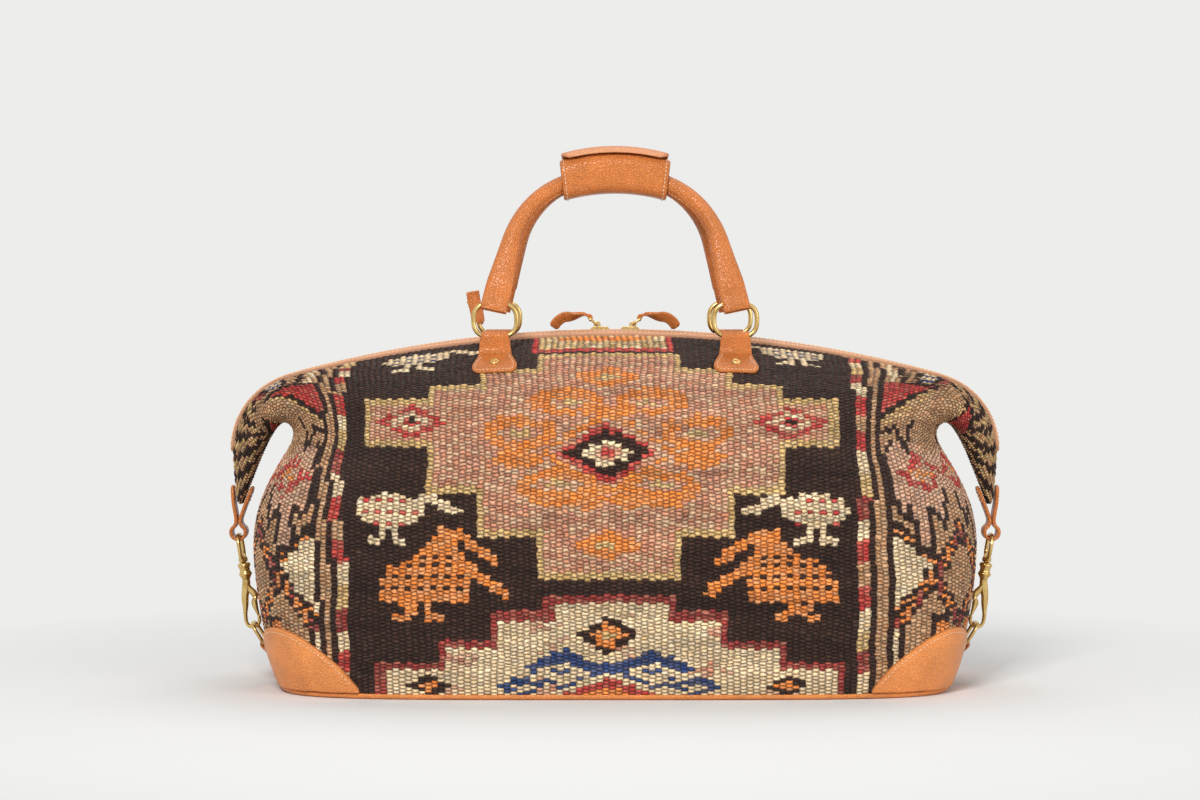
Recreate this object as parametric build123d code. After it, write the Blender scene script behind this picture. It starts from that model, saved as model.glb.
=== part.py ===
from build123d import *
import math
import os

os.makedirs("parts", exist_ok=True)

# Sizes of the carpet body, in millimetres
half_length = 265.0
half_depth = 117.0
zip_height = 259.0
zip_radius = 880.0
base_height = 4.0
carpet = 4.0
leather = 2.0
seat_gap = 0.3

# Sizes of the folded-down ears at both ends
ear_stand = 16.0
fold_radius = 56.0
ear_tip_drop = 127.0
ear_root_width = 48.0
ear_tip_width = 13.0
ear_tip_thickness = 5.0
apex_inset = 24.0
apex_drop = 65.0
ear_lean = 94.0

# Zip sizes
zip_half_gap = 7.0
tape_depth = 2.6
tape_thickness = 1.0
tape_edge_gap = 1.2
zip_end = 6.0

# Leather patch, trim and chape sizes
patch_height = 46.0
patch_edge = 2.5
trim_width = 13.0
chape_foot_half = 16.5
chape_top_half = 12.0
chape_low = 60.0
chape_high = 33.0
fold_half = 9.8
rivet_radius = 3.6
rivet_height = 1.3

# Handle and ring sizes
bar_y = 50.0
bar_drop = 3.5
ring_width = 31.0
ring_height = 24.5
ring_corner = 7.0
ring_wire = 1.75
bar_fit = 0.8
grip_y = 9.0
grip_rise = 117.5
grip_radius = 118.0
grip_angle = 12.0
bend_radius = 66.0
leg_angle = 77.0
tube_radius = 6.0
foot_width = 19.6
foot_thickness = 6.6
foot_corner = 3.1
foot_below = 7.0
foot_above = 9.0
foot_taper = 40.0
wrap_inner_width = 36.8
wrap_inner_height = 25.0
wrap_corner = 7.0
wrap_lift = 2.0
wrap_leather = 2.2
wrap_half_angle = 17.3
flap_half_angle = 16.6
flap_gap = 2.2
flap_front = 21.0
loop_half_gap = 2.0
loop_tail = 11.5
loop_high = 22.0
loop_low_end = 9.0

# Strap, hook, side ring and tab sizes
strap_half = 8.4
strap_leather = 2.6
strap_loop = 4.0
strap_rise = 13.0
eye_inset = 1.4
eye_drop = 23.0
eye_width = 24.0
eye_height = 18.0
eye_corner = 3.0
eye_wire = 1.5
hook_lean = 9.0
boss_radius = 3.2
boss_end = 20.4
stem_radius = 1.8
stem_end = 28.0
stem_fit = 0.08
head_radius = 2.8
head_length = 1.4
collar_start = 20.8
collar_end = 31.5
collar_radius = 4.2
band_radius = 4.8
band_length = 2.0
hook_half = 2.3
bowl_drop = 64.0
bowl_outer = 6.2
bowl_inner = 3.6
shank_half = 3.2
shank_top = 30.0
shank_end = 44.0
block_end = 48.6
block_left = 7.2
block_right = 2.0
knuckle_x = 4.4
knuckle_drop = 48.2
knuckle_radius = 1.7
gate_half = 1.1
gate_end = 60.5
nose_top = 60.9
side_wire = 1.4
side_width = 24.0
side_corner = 4.0
tab_half = 7.8
tab_leather = 2.2
tab_out = 5.0

# Zip slider and pull sizes
slider_x = 11.0
slider_half = 7.0
slider_width = 4.8
slider_top = 3.4
slider_low = 2.0
slider_nose = 1.6
chain_depth = 0.3
chain_half = 2.6
channel_half = 3.2
tooth_pitch = 3.0
tooth_cut = 1.1
bridge_x = 2.0
bridge_z = 4.8
bridge_radius = 2.6
bridge_half = 1.6
link_wire = 0.9
link_length = 8.0
link_width = 10.0
link_corner = 1.5
link_rise = 40.0
link_fit = 0.2
pull_half = 3.2
pull_leather = 3.0
pull_run = 27.0
pull_bulge = 3.0
pull_low = 1.7

board_inset = 6.0
board_height = 4.0

# The wall loops from the base edge up to the fold under the ears, as shares of the sizes above
wall_height_shares = (0.085, 0.19, 0.31, 0.43, 0.537, 0.637, 0.71, 0.784)
wall_end_height_shares = (0.085, 0.19, 0.31, 0.43, 0.537, 0.637, 0.708, 0.749)
wall_length_shares = (0.917, 0.947, 0.970, 0.990, 1.0, 0.979, 0.925, 0.879, 0.909)
wall_depth_shares = (0.906, 0.966, 0.991, 1.0, 1.0, 0.987, 0.966, 0.932, 0.872)
wall_squareness_shares = (4.5, 4.2, 4.0, 3.8, 3.4, 3.0, 2.6, 2.3, 2.2)
# The roof loops from that fold up to the edge beside the zip
roof_depth_shares = (0.769, 0.632, 0.4615, 0.282)
roof_height_shares = (0.849, 0.9035, 0.948, 0.979, 0.998)

# How the cloth is shared out along a loop
cloth_slack = 87.0
easing_start_share = 0.4
soft_reach = 9.0


def between(first, second, share):
    return first + (second - first) * share


# Heights and lengths that follow the body
ear_reach = half_length + ear_stand
ear_tip_height = zip_height - ear_tip_drop
apex_height = zip_height - apex_drop
bar_z = zip_height - bar_drop
grip_z = bar_z + grip_rise
cloth_half_length = half_length + cloth_slack

# The zip line: a wide arc over the roof, a tight fold, then a straight run down the ear
ridge_centre = zip_height - zip_radius
fold_x = ear_reach - fold_radius
fold_z = ridge_centre + math.sqrt((zip_radius - fold_radius) ** 2 - fold_x**2)
fold_angle = math.degrees(math.asin(fold_x / (zip_radius - fold_radius)))


def turned(radius, degrees):
    return Vector(radius * math.sin(math.radians(degrees)), 0, radius * math.cos(math.radians(degrees)))


fold_centre = Vector(fold_x, 0, fold_z)
fold_length = fold_radius * math.radians(ear_lean - fold_angle)
ear_top = fold_centre + turned(fold_radius, ear_lean)
ear_way = turned(1, ear_lean + 90)
ear_straight = (ear_tip_height - ear_top.Z) / ear_way.Z
ear_length = fold_length + ear_straight
root_x = fold_x + turned(fold_radius, fold_angle).X


def outer_point(share):
    run = share * ear_length
    if run < fold_length:
        return fold_centre + turned(fold_radius, fold_angle + math.degrees(run / fold_radius))
    return ear_top + ear_way * (run - fold_length)


inner_tip = outer_point(1) - Vector(ear_tip_thickness, 0, 0)
apex = Vector(half_length - apex_inset, 0, apex_height)
inner_bend = Vector(between(apex.X, inner_tip.X, 0.33), 0, apex.Z)
inner_lead = Vector(between(apex.X, inner_tip.X, 0.62), 0, between(apex.Z, inner_tip.Z, 0.52))


def inner_point(share):
    rest = 1 - share
    far = inner_lead * (3 * rest * share**2) + inner_tip * share**3
    return apex * rest**3 + inner_bend * (3 * rest**2 * share) + far


def ear_width(share):
    return between(ear_tip_width, ear_root_width, (1 - share) ** 1.2)


def ear_point(share, turn):
    top = outer_point(share)
    low = inner_point(share)
    middle = (top + low) * 0.5 + (top - low) * (0.5 * math.cos(turn))
    return middle - Vector(0, ear_width(share) * math.sin(turn), 0)


def wall_loop(row):
    length = half_length * wall_length_shares[row]
    depth = half_depth * wall_depth_shares[row]
    power = 2 / wall_squareness_shares[row]
    low = base_height if row == 0 else zip_height * wall_height_shares[row - 1]
    end = base_height if row == 0 else zip_height * wall_end_height_shares[row - 1]
    line = []
    for step in range(121):
        turn = math.radians(90) * step / 120
        along = math.sin(turn) ** power
        across = max(math.cos(turn), 0) ** power
        line.append(Vector(length * along, -depth * across, between(low, end, along**2)))
    line[-1] = Vector(length, 0, end)
    return line


def roof_loop(row):
    last = len(roof_depth_shares)
    reach = (row + 1) / (last + 1)
    start = zip_half_gap if row == last else half_depth * roof_depth_shares[row]
    side = zip_half_gap if row == last else ear_width(reach) * 0.9
    drop = zip_height * (1 - roof_height_shares[row])
    root = ear_point(0, math.asin(side / ear_root_width))
    root_drop = outer_point(0).Z - root.Z
    line = []
    for step in range(40):
        x = root_x * step / 40
        mix = (step / 40) ** 2.5
        ridge = ridge_centre + math.sqrt(zip_radius**2 - x**2)
        line.append(Vector(x, -between(start, side, mix), ridge - between(drop, root_drop, mix)))
    for step in range(24):
        share = reach * step / 24
        line.append(ear_point(share, math.asin(side / ear_width(share))))
    first = math.asin(side / ear_width(reach))
    for step in range(17):
        line.append(ear_point(reach, between(first, math.pi, step / 16)))
    line[-1] = Vector(line[-1].X, 0, line[-1].Z)
    return line


def measured(line):
    total = [0.0]
    for before, after in zip(line, line[1:]):
        total.append(total[-1] + (after - before).length)
    return line, total


wall_rows = len(wall_length_shares)
loops = [measured(wall_loop(row)) for row in range(wall_rows)]
loops += [measured(roof_loop(row)) for row in range(len(roof_height_shares))]
heights = measured([line[0] for line, total in loops])[1]
cloth_height = heights[-1]


def on_loop(loop, run):
    line, total = loop
    if run < 0:
        point = on_loop(loop, -run)
        return Vector(-point.X, point.Y, point.Z)
    if run > total[-1]:
        point = on_loop(loop, 2 * total[-1] - run)
        return Vector(point.X, -point.Y, point.Z)
    low = 0
    high = len(total) - 1
    while high - low > 1:
        middle = (low + high) // 2
        if total[middle] <= run:
            low = middle
        else:
            high = middle
    share = (run - total[low]) / (total[high] - total[low])
    return line[low] * (1 - share) + line[high] * share


def soft_point(loop, across):
    total = loop[1][-1]
    ease = max(0, (across - easing_start_share) / (1 - easing_start_share)) ** 2
    run = cloth_half_length * across + (total - cloth_half_length) * ease
    beside = on_loop(loop, run - soft_reach) + on_loop(loop, run + soft_reach)
    return on_loop(loop, run) * 0.5 + beside * 0.25


def cloth_point(across, up):
    side = -1 if across < 0 else 1
    run = up * cloth_height
    row = 0
    while row < len(heights) - 2 and heights[row + 1] <= run:
        row += 1
    share = (run - heights[row]) / (heights[row + 1] - heights[row])
    near = []
    for index in range(row - 1, row + 3):
        if index < 0:
            near.append(soft_point(loops[0], abs(across)) * 2 - soft_point(loops[1], abs(across)))
        elif index >= len(loops):
            near.append(soft_point(loops[-1], abs(across)) * 2 - soft_point(loops[-2], abs(across)))
        else:
            near.append(soft_point(loops[index], abs(across)))
    weights = (
        (1 - share) ** 3 / 6,
        (3 * share**3 - 6 * share**2 + 4) / 6,
        (-3 * share**3 + 3 * share**2 + 3 * share + 1) / 6,
        share**3 / 6,
    )
    point = sum((corner * weight for corner, weight in zip(near, weights)), Vector(0, 0, 0))
    return Vector(side * point.X, point.Y, point.Z)


def cloth_normal(across, up):
    small = 0.002
    before = max(across - small, -1)
    after = min(across + small, 1)
    along = cloth_point(after, up) - cloth_point(before, up)
    upward = cloth_point(across, min(up + small, 1)) - cloth_point(across, max(up - small, 0))
    normal = along.cross(upward)
    if abs(across) > 1 - small:
        normal = Vector(normal.X, 0, normal.Z)
    if up < small:
        normal = Vector(normal.X, normal.Y, 0)
    return normal.normalized()


def thin(across, up):
    ear = max(0, (abs(across) - 0.6) / 0.4)
    above = max(0, up - 0.7) / 0.3
    return 1 - 0.5 * min(1, ear * 1.4) * above**2


def skin(sections, steps, place, low, high, flat_ends=True):
    # A sheet between two heights over the carpet, place turning grid shares into cloth shares
    wires = []
    for section in range(sections + 1):
        spots = [place(section / sections, step / steps) for step in range(steps + 1)]
        flat = flat_ends and section in (0, sections)
        if flat:
            lift = cloth_normal(*spots[steps // 2])
            ends = [cloth_point(*spots[0]), cloth_point(*spots[-1])]
            corners = [ends[0] + lift * high, ends[1] + lift * high]
            corners += [ends[1] + lift * low, ends[0] + lift * low]
            wires.append(Wire.make_polygon(corners, close=True))
            continue
        top = []
        under = []
        for across, up in spots:
            point = cloth_point(across, up)
            normal = cloth_normal(across, up)
            top.append(point + normal * high)
            under.append(point + normal * (low if low > 0 else low * thin(across, up)))
        sides = [Edge.make_spline(top), Edge.make_line(top[-1], under[-1])]
        sides += [Edge.make_spline(under[::-1]), Edge.make_line(under[0], top[0])]
        wires.append(Wire(sides))
    return Solid.make_loft(wires, False)


parts = {}


def keep(name, shape):
    parts[name] = shape


def keep_pair(name, shape):
    # The shape is on the right, and its twin is turned half round to the left
    keep(name + "_right", shape)
    keep(name + "_left", shape.rotate(Axis.Z, 180))


def keep_fours(name, shape):
    # The shape is at the front right, and the other three are its mirror images
    for depth, right in (("front_", shape), ("back_", mirror(shape, Plane.XZ))):
        keep(depth + name + "_right", right)
        keep(depth + name + "_left", mirror(right, Plane.YZ))


def up_share(length):
    return length / cloth_height


panel = skin(48, 22, lambda c, r: (between(-1, 1, c), r), -carpet, 0, False)
keep("front_panel", panel)
keep("back_panel", mirror(panel, Plane.XZ))

patch_start_share = 0.52
patch_end_share = 0.94


def patch_place(c, r):
    rise = patch_edge + (patch_height - patch_edge) * math.sin(math.pi * c) ** 0.8
    return between(patch_start_share, patch_end_share, c), r * up_share(rise)


keep_fours("corner_patch", skin(16, 6, patch_place, seat_gap, seat_gap + leather))

trim_end_share = 0.86


def trim_place(c, r):
    return between(-trim_end_share, trim_end_share, c), 1 - (1 - r) * up_share(trim_width)


trim = skin(56, 4, trim_place, seat_gap, seat_gap + leather)
keep("zip_trim_front", trim)
keep("zip_trim_back", mirror(trim, Plane.XZ))


def outline(inset, height):
    points = []
    for step in range(25):
        across = step / 24
        points.append(cloth_point(across, 0) - cloth_normal(across, 0) * inset)
    quarter = [Vector(point.X, point.Y, height) for point in points]
    right = quarter + [Vector(point.X, -point.Y, height) for point in quarter[-2::-1]]
    ring = right + [Vector(-point.X, point.Y, height) for point in right[-2:0:-1]]
    return Face(Wire([Edge.make_spline(ring, periodic=True)]))


keep("base_panel", loft([outline(base_height, 0), outline(0, base_height)]))
keep("base_board", extrude(outline(board_inset, base_height), amount=board_height, dir=(0, 0, 1)))


def flipped(point):
    return Vector(-point.X, point.Y, point.Z)


def zip_edges(depth):
    # The zip line sunk by a depth, as five edges from the left ear to the right one
    ridge = zip_radius - depth
    fold = fold_radius - depth
    root = Vector(0, 0, ridge_centre) + turned(ridge, fold_angle)
    bend = fold_centre + turned(fold, (fold_angle + ear_lean) / 2)
    top = fold_centre + turned(fold, ear_lean)
    tip = top + ear_way * (ear_straight - zip_end)
    return [
        Edge.make_line(flipped(tip), flipped(top)),
        Edge.make_three_point_arc(flipped(top), flipped(bend), flipped(root)),
        Edge.make_three_point_arc(flipped(root), Vector(0, 0, zip_height - depth), root),
        Edge.make_three_point_arc(root, bend, top),
        Edge.make_line(top, tip),
    ]


def toothed_edges(depth):
    # The same line with the roof part cut into teeth
    edges = zip_edges(depth)
    count = int(math.radians(2 * fold_angle) * zip_radius / tooth_pitch)
    points = [edges[2] @ 0]
    for index in range(1, count):
        for side, sink in ((-0.5, 0), (-0.5, tooth_cut), (0.5, tooth_cut), (0.5, 0)):
            run = index * tooth_pitch + side * tooth_cut
            degrees = math.degrees(run / zip_radius) - fold_angle
            points.append(Vector(0, 0, ridge_centre) + turned(zip_radius - depth - sink, degrees))
    points.append(edges[2] @ 1)
    return edges[:2] + Wire.make_polygon(points, close=False).edges() + edges[3:]


def band(top, under, half_width):
    # A strip along the zip line, between an upper line of edges and a lower one
    ends = [Edge.make_line(top[0] @ 0, under[0] @ 0), Edge.make_line(top[-1] @ 1, under[-1] @ 1)]
    return extrude(Face(Wire(list(top) + under + ends)), amount=half_width, dir=(0, 1, 0), both=True)


tape_edges = zip_edges(tape_depth)
keep("zip_tape", band(tape_edges, zip_edges(tape_depth + tape_thickness), zip_half_gap - tape_edge_gap))
keep("zip_chain", band(toothed_edges(chain_depth), tape_edges, chain_half))

# Ring, drawn upright at its place at the front right
grip_turn = math.radians(grip_angle)
grip_out = Vector(math.sin(grip_turn), math.cos(grip_turn))
bend_centre = Vector(0, -grip_radius) + grip_out * (grip_radius - bend_radius)


def bend_point(degrees):
    turn = math.radians(degrees)
    return bend_centre + Vector(math.sin(turn), math.cos(turn)) * bend_radius


leg_way = Vector(math.cos(math.radians(leg_angle)), -math.sin(math.radians(leg_angle)))
ring_top = Vector(0, -bar_y, bar_z + ring_height)
grip_top = Vector(0, -grip_y, grip_z)
handle_rise = (grip_top - ring_top).length
leg_start = bend_point(leg_angle)
leg_length = (leg_start.Y + handle_rise) / -leg_way.Y
leg_end = leg_start + leg_way * leg_length
ring_x = leg_end.X

ring_place = Plane(origin=(ring_x, -bar_y, bar_z + ring_height / 2), x_dir=(1, 0, 0), z_dir=(0, -1, 0))
ring_path = (ring_place * RectangleRounded(ring_width, ring_height, ring_corner)).faces()[0].outer_wire()
ring_start = Plane(origin=ring_path @ 0, z_dir=ring_path % 0)
keep_fours("ring", sweep(ring_start * Circle(ring_wire), path=ring_path))


def hole(centre, way, radius, half):
    return extrude(Plane(origin=centre, z_dir=way) * Circle(radius), amount=half, both=True)


bar_hole = hole((ring_x, -bar_y, bar_z), (1, 0, 0), ring_wire + seat_gap, ring_width)
foot_hole = hole((ring_x, -bar_y, bar_z + ring_height), (1, 0, 0), ring_wire + bar_fit, ring_width)

# Chape: a sewn foot on the carpet and a fold round the ring's lower bar
chape_from = 1 - up_share(chape_low + (chape_low - chape_high) / 2)
chape_to = 1 - up_share(chape_high + (chape_low - chape_high) / 2)


def chape_place(c, r):
    half = between(chape_foot_half, chape_top_half, c**0.6) * (1 - 0.3 * (1 - c) ** 10)
    return (ring_x + half * (2 * r - 1)) / cloth_half_length, between(chape_from, chape_to, c)


chape_spot = (ring_x / cloth_half_length, between(chape_from, chape_to, 0.93))
chape_lift = seat_gap + leather * 1.7
chape_top = cloth_point(*chape_spot) + cloth_normal(*chape_spot) * chape_lift
side_plane = Plane(origin=(ring_x, 0, 0), x_dir=(0, 1, 0), z_dir=(1, 0, 0))
fold_radius_out = ring_wire + seat_gap + leather
fold_line = Edge.make_line((chape_top.Y, chape_top.Z), (-bar_y, bar_z))
fold_face = trace(fold_line, line_width=2 * leather) + Pos(-bar_y, bar_z) * Circle(fold_radius_out)
fold = extrude(side_plane * fold_face, amount=fold_half, both=True) - bar_hole
chape = skin(10, 8, chape_place, seat_gap, seat_gap + leather) + fold
keep_fours("chape", chape)

rivet_spot = (ring_x / cloth_half_length, between(chape_from, chape_to, 0.45))
rivet_seat = cloth_point(*rivet_spot) + cloth_normal(*rivet_spot) * (2 * seat_gap + leather)
rivet_plane = Plane(origin=rivet_seat, z_dir=cloth_normal(*rivet_spot))
rivet = extrude(rivet_plane * Circle(rivet_radius), amount=rivet_height)
rivet = fillet(rivet.edges().filter_by(GeomType.CIRCLE).sort_by(Axis.Z)[-1:], rivet_height * 0.8)
rivets = [rivet, mirror(rivet, Plane.YZ)]
rivets += [mirror(one, Plane.XZ) for one in rivets]
keep("chape_rivets", Compound(children=rivets))

# Handle, drawn in its leaning plane with the top of its centre line at the plane's origin
lean_plane = Plane(origin=grip_top, x_dir=(1, 0, 0), z_dir=Vector(1, 0, 0).cross(grip_top - ring_top))
grip_right = bend_point(grip_angle)
bend_mid = bend_point((grip_angle + leg_angle) / 2)
tube_end = leg_end - leg_way * (foot_above + foot_taper)
tube_path = Wire([
    Edge.make_line(flipped(tube_end), flipped(leg_start)),
    Edge.make_three_point_arc(flipped(leg_start), flipped(bend_mid), flipped(grip_right)),
    Edge.make_three_point_arc(flipped(grip_right), Vector(0, 0), grip_right),
    Edge.make_three_point_arc(grip_right, bend_mid, leg_start),
    Edge.make_line(leg_start, tube_end),
])
tube_start = Plane(origin=flipped(tube_end), x_dir=(0, 0, 1), z_dir=(leg_way.X, -leg_way.Y, 0))
tube = sweep(tube_start * Circle(tube_radius), path=tube_path)


def foot_plane(above):
    return Plane(origin=leg_end - leg_way * above, x_dir=(-leg_way.Y, leg_way.X, 0), z_dir=-leg_way)


foot_shape = RectangleRounded(foot_width, foot_thickness, foot_corner)
foot = extrude(foot_plane(-foot_below) * foot_shape, amount=foot_below + foot_above)
foot += loft([foot_plane(foot_above) * foot_shape, foot_plane(foot_above + foot_taper) * Circle(tube_radius)])
handle = lean_plane * (tube + foot + mirror(foot, Plane.YZ))
handle = handle - foot_hole - mirror(foot_hole, Plane.YZ)
keep("handle_front", handle)
keep("handle_back", mirror(handle, Plane.XZ))

# Wrap: a sleeve turned about an axis across the bag, with a flap lapped over its top
lean_share = (grip_top - ring_top).Z / handle_rise
grip_half = grip_radius * math.sin(grip_turn)
grip_drop = grip_radius * (1 - math.cos(grip_turn)) * lean_share
wrap_radius = (grip_half**2 + grip_drop**2) / (2 * grip_drop)
wrap_axis = Axis((0, 0, grip_z - wrap_radius), (0, 1, 0))
wrap_centre = grip_z + wrap_lift


def rounded(grow):
    shape = RectangleRounded(wrap_inner_width + 2 * grow, wrap_inner_height + 2 * grow, wrap_corner + grow)
    return Pos(0, wrap_centre) * shape


across_plane = Plane(origin=(0, 0, 0), x_dir=(0, 1, 0), z_dir=(1, 0, 0))


def turned_about(shape, half_angle):
    solid = revolve(across_plane * shape, axis=wrap_axis, revolution_arc=2 * half_angle)
    return solid.rotate(wrap_axis, -half_angle)


flap_ring = rounded(2 * wrap_leather + flap_gap) - rounded(wrap_leather + flap_gap)
flap_keep = Pos(wrap_inner_width / 2 - flap_front / 2, wrap_centre + wrap_inner_height / 2)
flap = flap_ring & flap_keep * Rectangle(wrap_inner_width + flap_front, wrap_inner_height)
root_z = wrap_centre + wrap_leather / 2
flap_root = Pos(wrap_inner_width / 2 + wrap_leather + flap_gap / 2, root_z) * Rectangle(
    2 * wrap_leather + flap_gap, 2 * wrap_leather)
wrap = turned_about(rounded(wrap_leather) - rounded(0), wrap_half_angle)
flap += flap_root & rounded(2 * wrap_leather + flap_gap)
wrap += turned_about(flap - rounded(wrap_leather / 2), flap_half_angle)
keep("handle_wrap", wrap)

# Hang loop on the outer side of the back left ring, standing up beside the handle's foot
loop_x = ring_x + ring_width / 2
loop_out = ring_wire + seat_gap + leather * 0.8
loop_bottom = bar_z + (ring_height - loop_low_end) / 2
hang = extrude(Pos(loop_x, -bar_y, loop_bottom) * Circle(loop_out), amount=loop_low_end)
tail = Pos(loop_x + loop_half_gap + loop_tail / 2, -bar_y, loop_bottom + loop_high / 2)
hang += tail * Box(loop_tail, leather * 1.6, loop_high)
hang -= hole((loop_x, -bar_y, loop_bottom), (0, 0, 1), ring_wire + seat_gap, ring_height)
keep("hang_loop", mirror(mirror(hang, Plane.YZ), Plane.XZ))

# Ear strap, hook, side ring and tab at the right end
hook_up = turned(1, hook_lean)
hook_out = turned(1, hook_lean + 90)
eye_top = outer_point(1) - Vector(eye_inset, 0, eye_drop)
hook_plane = Plane(origin=eye_top, x_dir=hook_out, z_dir=hook_out.cross(hook_up))
end_plane = Plane.XZ


def flat_xz(point):
    return Vector(point.X, point.Z)


loop_middle = eye_top + Vector(0, 0, strap_loop - eye_wire - seat_gap)
neck = loop_middle + Vector(0, 0, strap_loop + strap_leather * 1.6)
outer_low = outer_point(1) + Vector(seat_gap * 2 + strap_leather / 2, 0, 0)
outer_high = outer_low - ear_way * strap_rise
inner_out = inner_point(1) - inner_point(0.7)
inner_low = inner_tip - Vector(seat_gap * 2 + strap_leather / 2, 0, 0)
inner_high = inner_low - inner_out.normalized() * strap_rise
ply_right = Polyline([flat_xz(p) for p in (outer_high, outer_low, neck)])
ply_left = Polyline([flat_xz(p) for p in (inner_high, inner_low, neck)])
loop_spot = Pos(loop_middle.X, loop_middle.Z)
strap_face = trace(ply_right, line_width=strap_leather) + trace(ply_left, line_width=strap_leather)
strap_face += trace(Edge.make_line(flat_xz(neck), flat_xz(loop_middle)), line_width=2 * strap_leather)
strap_face += loop_spot * Circle(strap_loop + strap_leather)
strap_face -= loop_spot * Circle(strap_loop)
keep_pair("ear_strap", extrude(end_plane * strap_face, amount=strap_half, both=True))


def hook_round(start, end, radius):
    place = Plane(origin=eye_top - hook_up * start, z_dir=-hook_up)
    return extrude(place * Circle(radius), amount=end - start)


eye_place = Plane(origin=eye_top - hook_up * (eye_height / 2), x_dir=(0, 1, 0), z_dir=hook_out)
eye_path = (eye_place * RectangleRounded(eye_width, eye_height, eye_corner)).faces()[0].outer_wire()
eye = sweep(Plane(origin=eye_path @ 0, z_dir=eye_path % 0) * Circle(eye_wire), path=eye_path)
eye += hook_round(eye_height - eye_wire / 2, boss_end, boss_radius)
eye += hook_round(boss_end, stem_end, stem_radius)
eye += hook_round(stem_end, stem_end + head_length, head_radius)
keep_pair("hook_eye", eye)

knuckle = Pos(-knuckle_x, -knuckle_drop)
hook_face = make_face(Polyline(
    (-shank_half, -shank_top), (shank_half, -shank_top), (bowl_outer, -shank_end), (bowl_outer, -bowl_drop),
    (bowl_inner, -bowl_drop), (bowl_inner, -block_end), (-block_right, -block_end), (-block_left, -block_end),
    (-block_left, -shank_end), (-shank_half, -shank_top)))
bowl = Pos(0, -bowl_drop) * (Circle(bowl_outer) - Circle(bowl_inner))
bowl_low = Pos(0, -bowl_drop - bowl_outer / 2) * Rectangle(2 * bowl_outer, bowl_outer)
nose_width = bowl_outer - bowl_inner
nose_spot = Pos(-(bowl_outer + bowl_inner) / 2, -(bowl_drop + nose_top) / 2)
nose = nose_spot * Rectangle(nose_width, bowl_drop - nose_top)
hook_face += (bowl & bowl_low) + nose
hook_face -= knuckle * Circle(knuckle_radius + seat_gap)
hook_face -= Pos(-knuckle_x, -block_end) * Rectangle(2 * gate_half + 4 * seat_gap, 2 * knuckle_radius)
hook = extrude(hook_plane * hook_face, amount=hook_half, both=True)
hook += hook_round(collar_start, collar_end, collar_radius)
hook += hook_round(collar_start + band_length / 2, collar_start + band_length * 1.5, band_radius)
hook += hook_round(collar_end - band_length * 1.5, collar_end - band_length / 2, band_radius)
hook -= hook_round(collar_start - seat_gap, stem_end, stem_radius + stem_fit)
hook -= hook_round(stem_end - seat_gap, stem_end + head_length + seat_gap, head_radius + seat_gap)
keep_pair("hook_body", hook)

gate_face = knuckle * Circle(knuckle_radius)
gate_middle = Pos(-knuckle_x, -(knuckle_drop + gate_end) / 2)
gate_face += gate_middle * Rectangle(2 * gate_half, gate_end - knuckle_drop)
keep_pair("hook_gate", extrude(hook_plane * gate_face, amount=hook_half, both=True))

tab_spot_share = 0.085
tab_foot_shares = (0.012, 0.03, 0.05)
tab_bar = cloth_point(1, tab_spot_share) + cloth_normal(1, tab_spot_share) * tab_out
side_drop = bowl_drop + bowl_inner - side_wire - seat_gap
side_top = eye_top - hook_up * side_drop
side_way = side_top - tab_bar
side_middle = (tab_bar + side_top) * 0.5
side_place = Plane(origin=side_middle, x_dir=(0, 1, 0), z_dir=side_way.cross(Vector(0, 1, 0)))
side_path = (side_place * RectangleRounded(side_width, side_way.length, side_corner)).faces()[0].outer_wire()
side_start = Plane(origin=side_path @ 0, z_dir=side_path % 0)
keep_pair("side_ring", sweep(side_start * Circle(side_wire), path=side_path))

tab_lift = seat_gap * 2 + tab_leather / 2
tab_points = [cloth_point(1, share) + cloth_normal(1, share) * tab_lift for share in tab_foot_shares]
tab_line = Polyline([flat_xz(point) for point in tab_points + [tab_bar]])
tab_face = trace(tab_line, line_width=tab_leather)
tab_face += Pos(tab_bar.X, tab_bar.Z) * Circle(side_wire + seat_gap + tab_leather)
tab = extrude(end_plane * tab_face, amount=tab_half, both=True)
tab -= hole(tab_bar, (0, 1, 0), side_wire + seat_gap, side_width)
keep_pair("side_tab", tab)

# Zip slider and pull, drawn along the zip at the right of the middle
slider_angle = math.degrees(slider_x / zip_radius)
slider_along = turned(1, slider_angle + 90)
slider_spot = Vector(0, 0, ridge_centre) + turned(zip_radius, slider_angle)
slider_plane = Plane(origin=slider_spot, x_dir=slider_along, z_dir=(0, -1, 0))
slider_face = make_face(Polyline(
    (-slider_half, -slider_low), (slider_half, -slider_low), (slider_half, slider_top - slider_nose),
    (slider_half - slider_nose, slider_top), (slider_nose - slider_half, slider_top),
    (-slider_half, slider_top - slider_nose), (-slider_half, -slider_low)))
slider = extrude(slider_plane * slider_face, amount=slider_width, both=True)
channel_high = slider_low + chain_depth
channel = Pos(0, chain_depth - channel_high) * Rectangle(4 * slider_half, 2 * channel_high)
slider -= extrude(slider_plane * channel, amount=channel_half, both=True)
bridge = Pos(bridge_x, bridge_z) * (Circle(bridge_radius) - Circle(link_wire + link_fit))
bridge += Pos(bridge_x, (slider_top + bridge_z) / 2 - link_wire) * Rectangle(2 * bridge_radius, link_wire)
bridge -= Pos(bridge_x, bridge_z) * Circle(link_wire + link_fit)
bridge -= Pos(bridge_x, -channel_high / 2) * Rectangle(4 * bridge_radius, channel_high + slider_top)
slider += extrude(slider_plane * bridge, amount=bridge_half, both=True)
keep_pair("zip_slider", slider)

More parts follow.
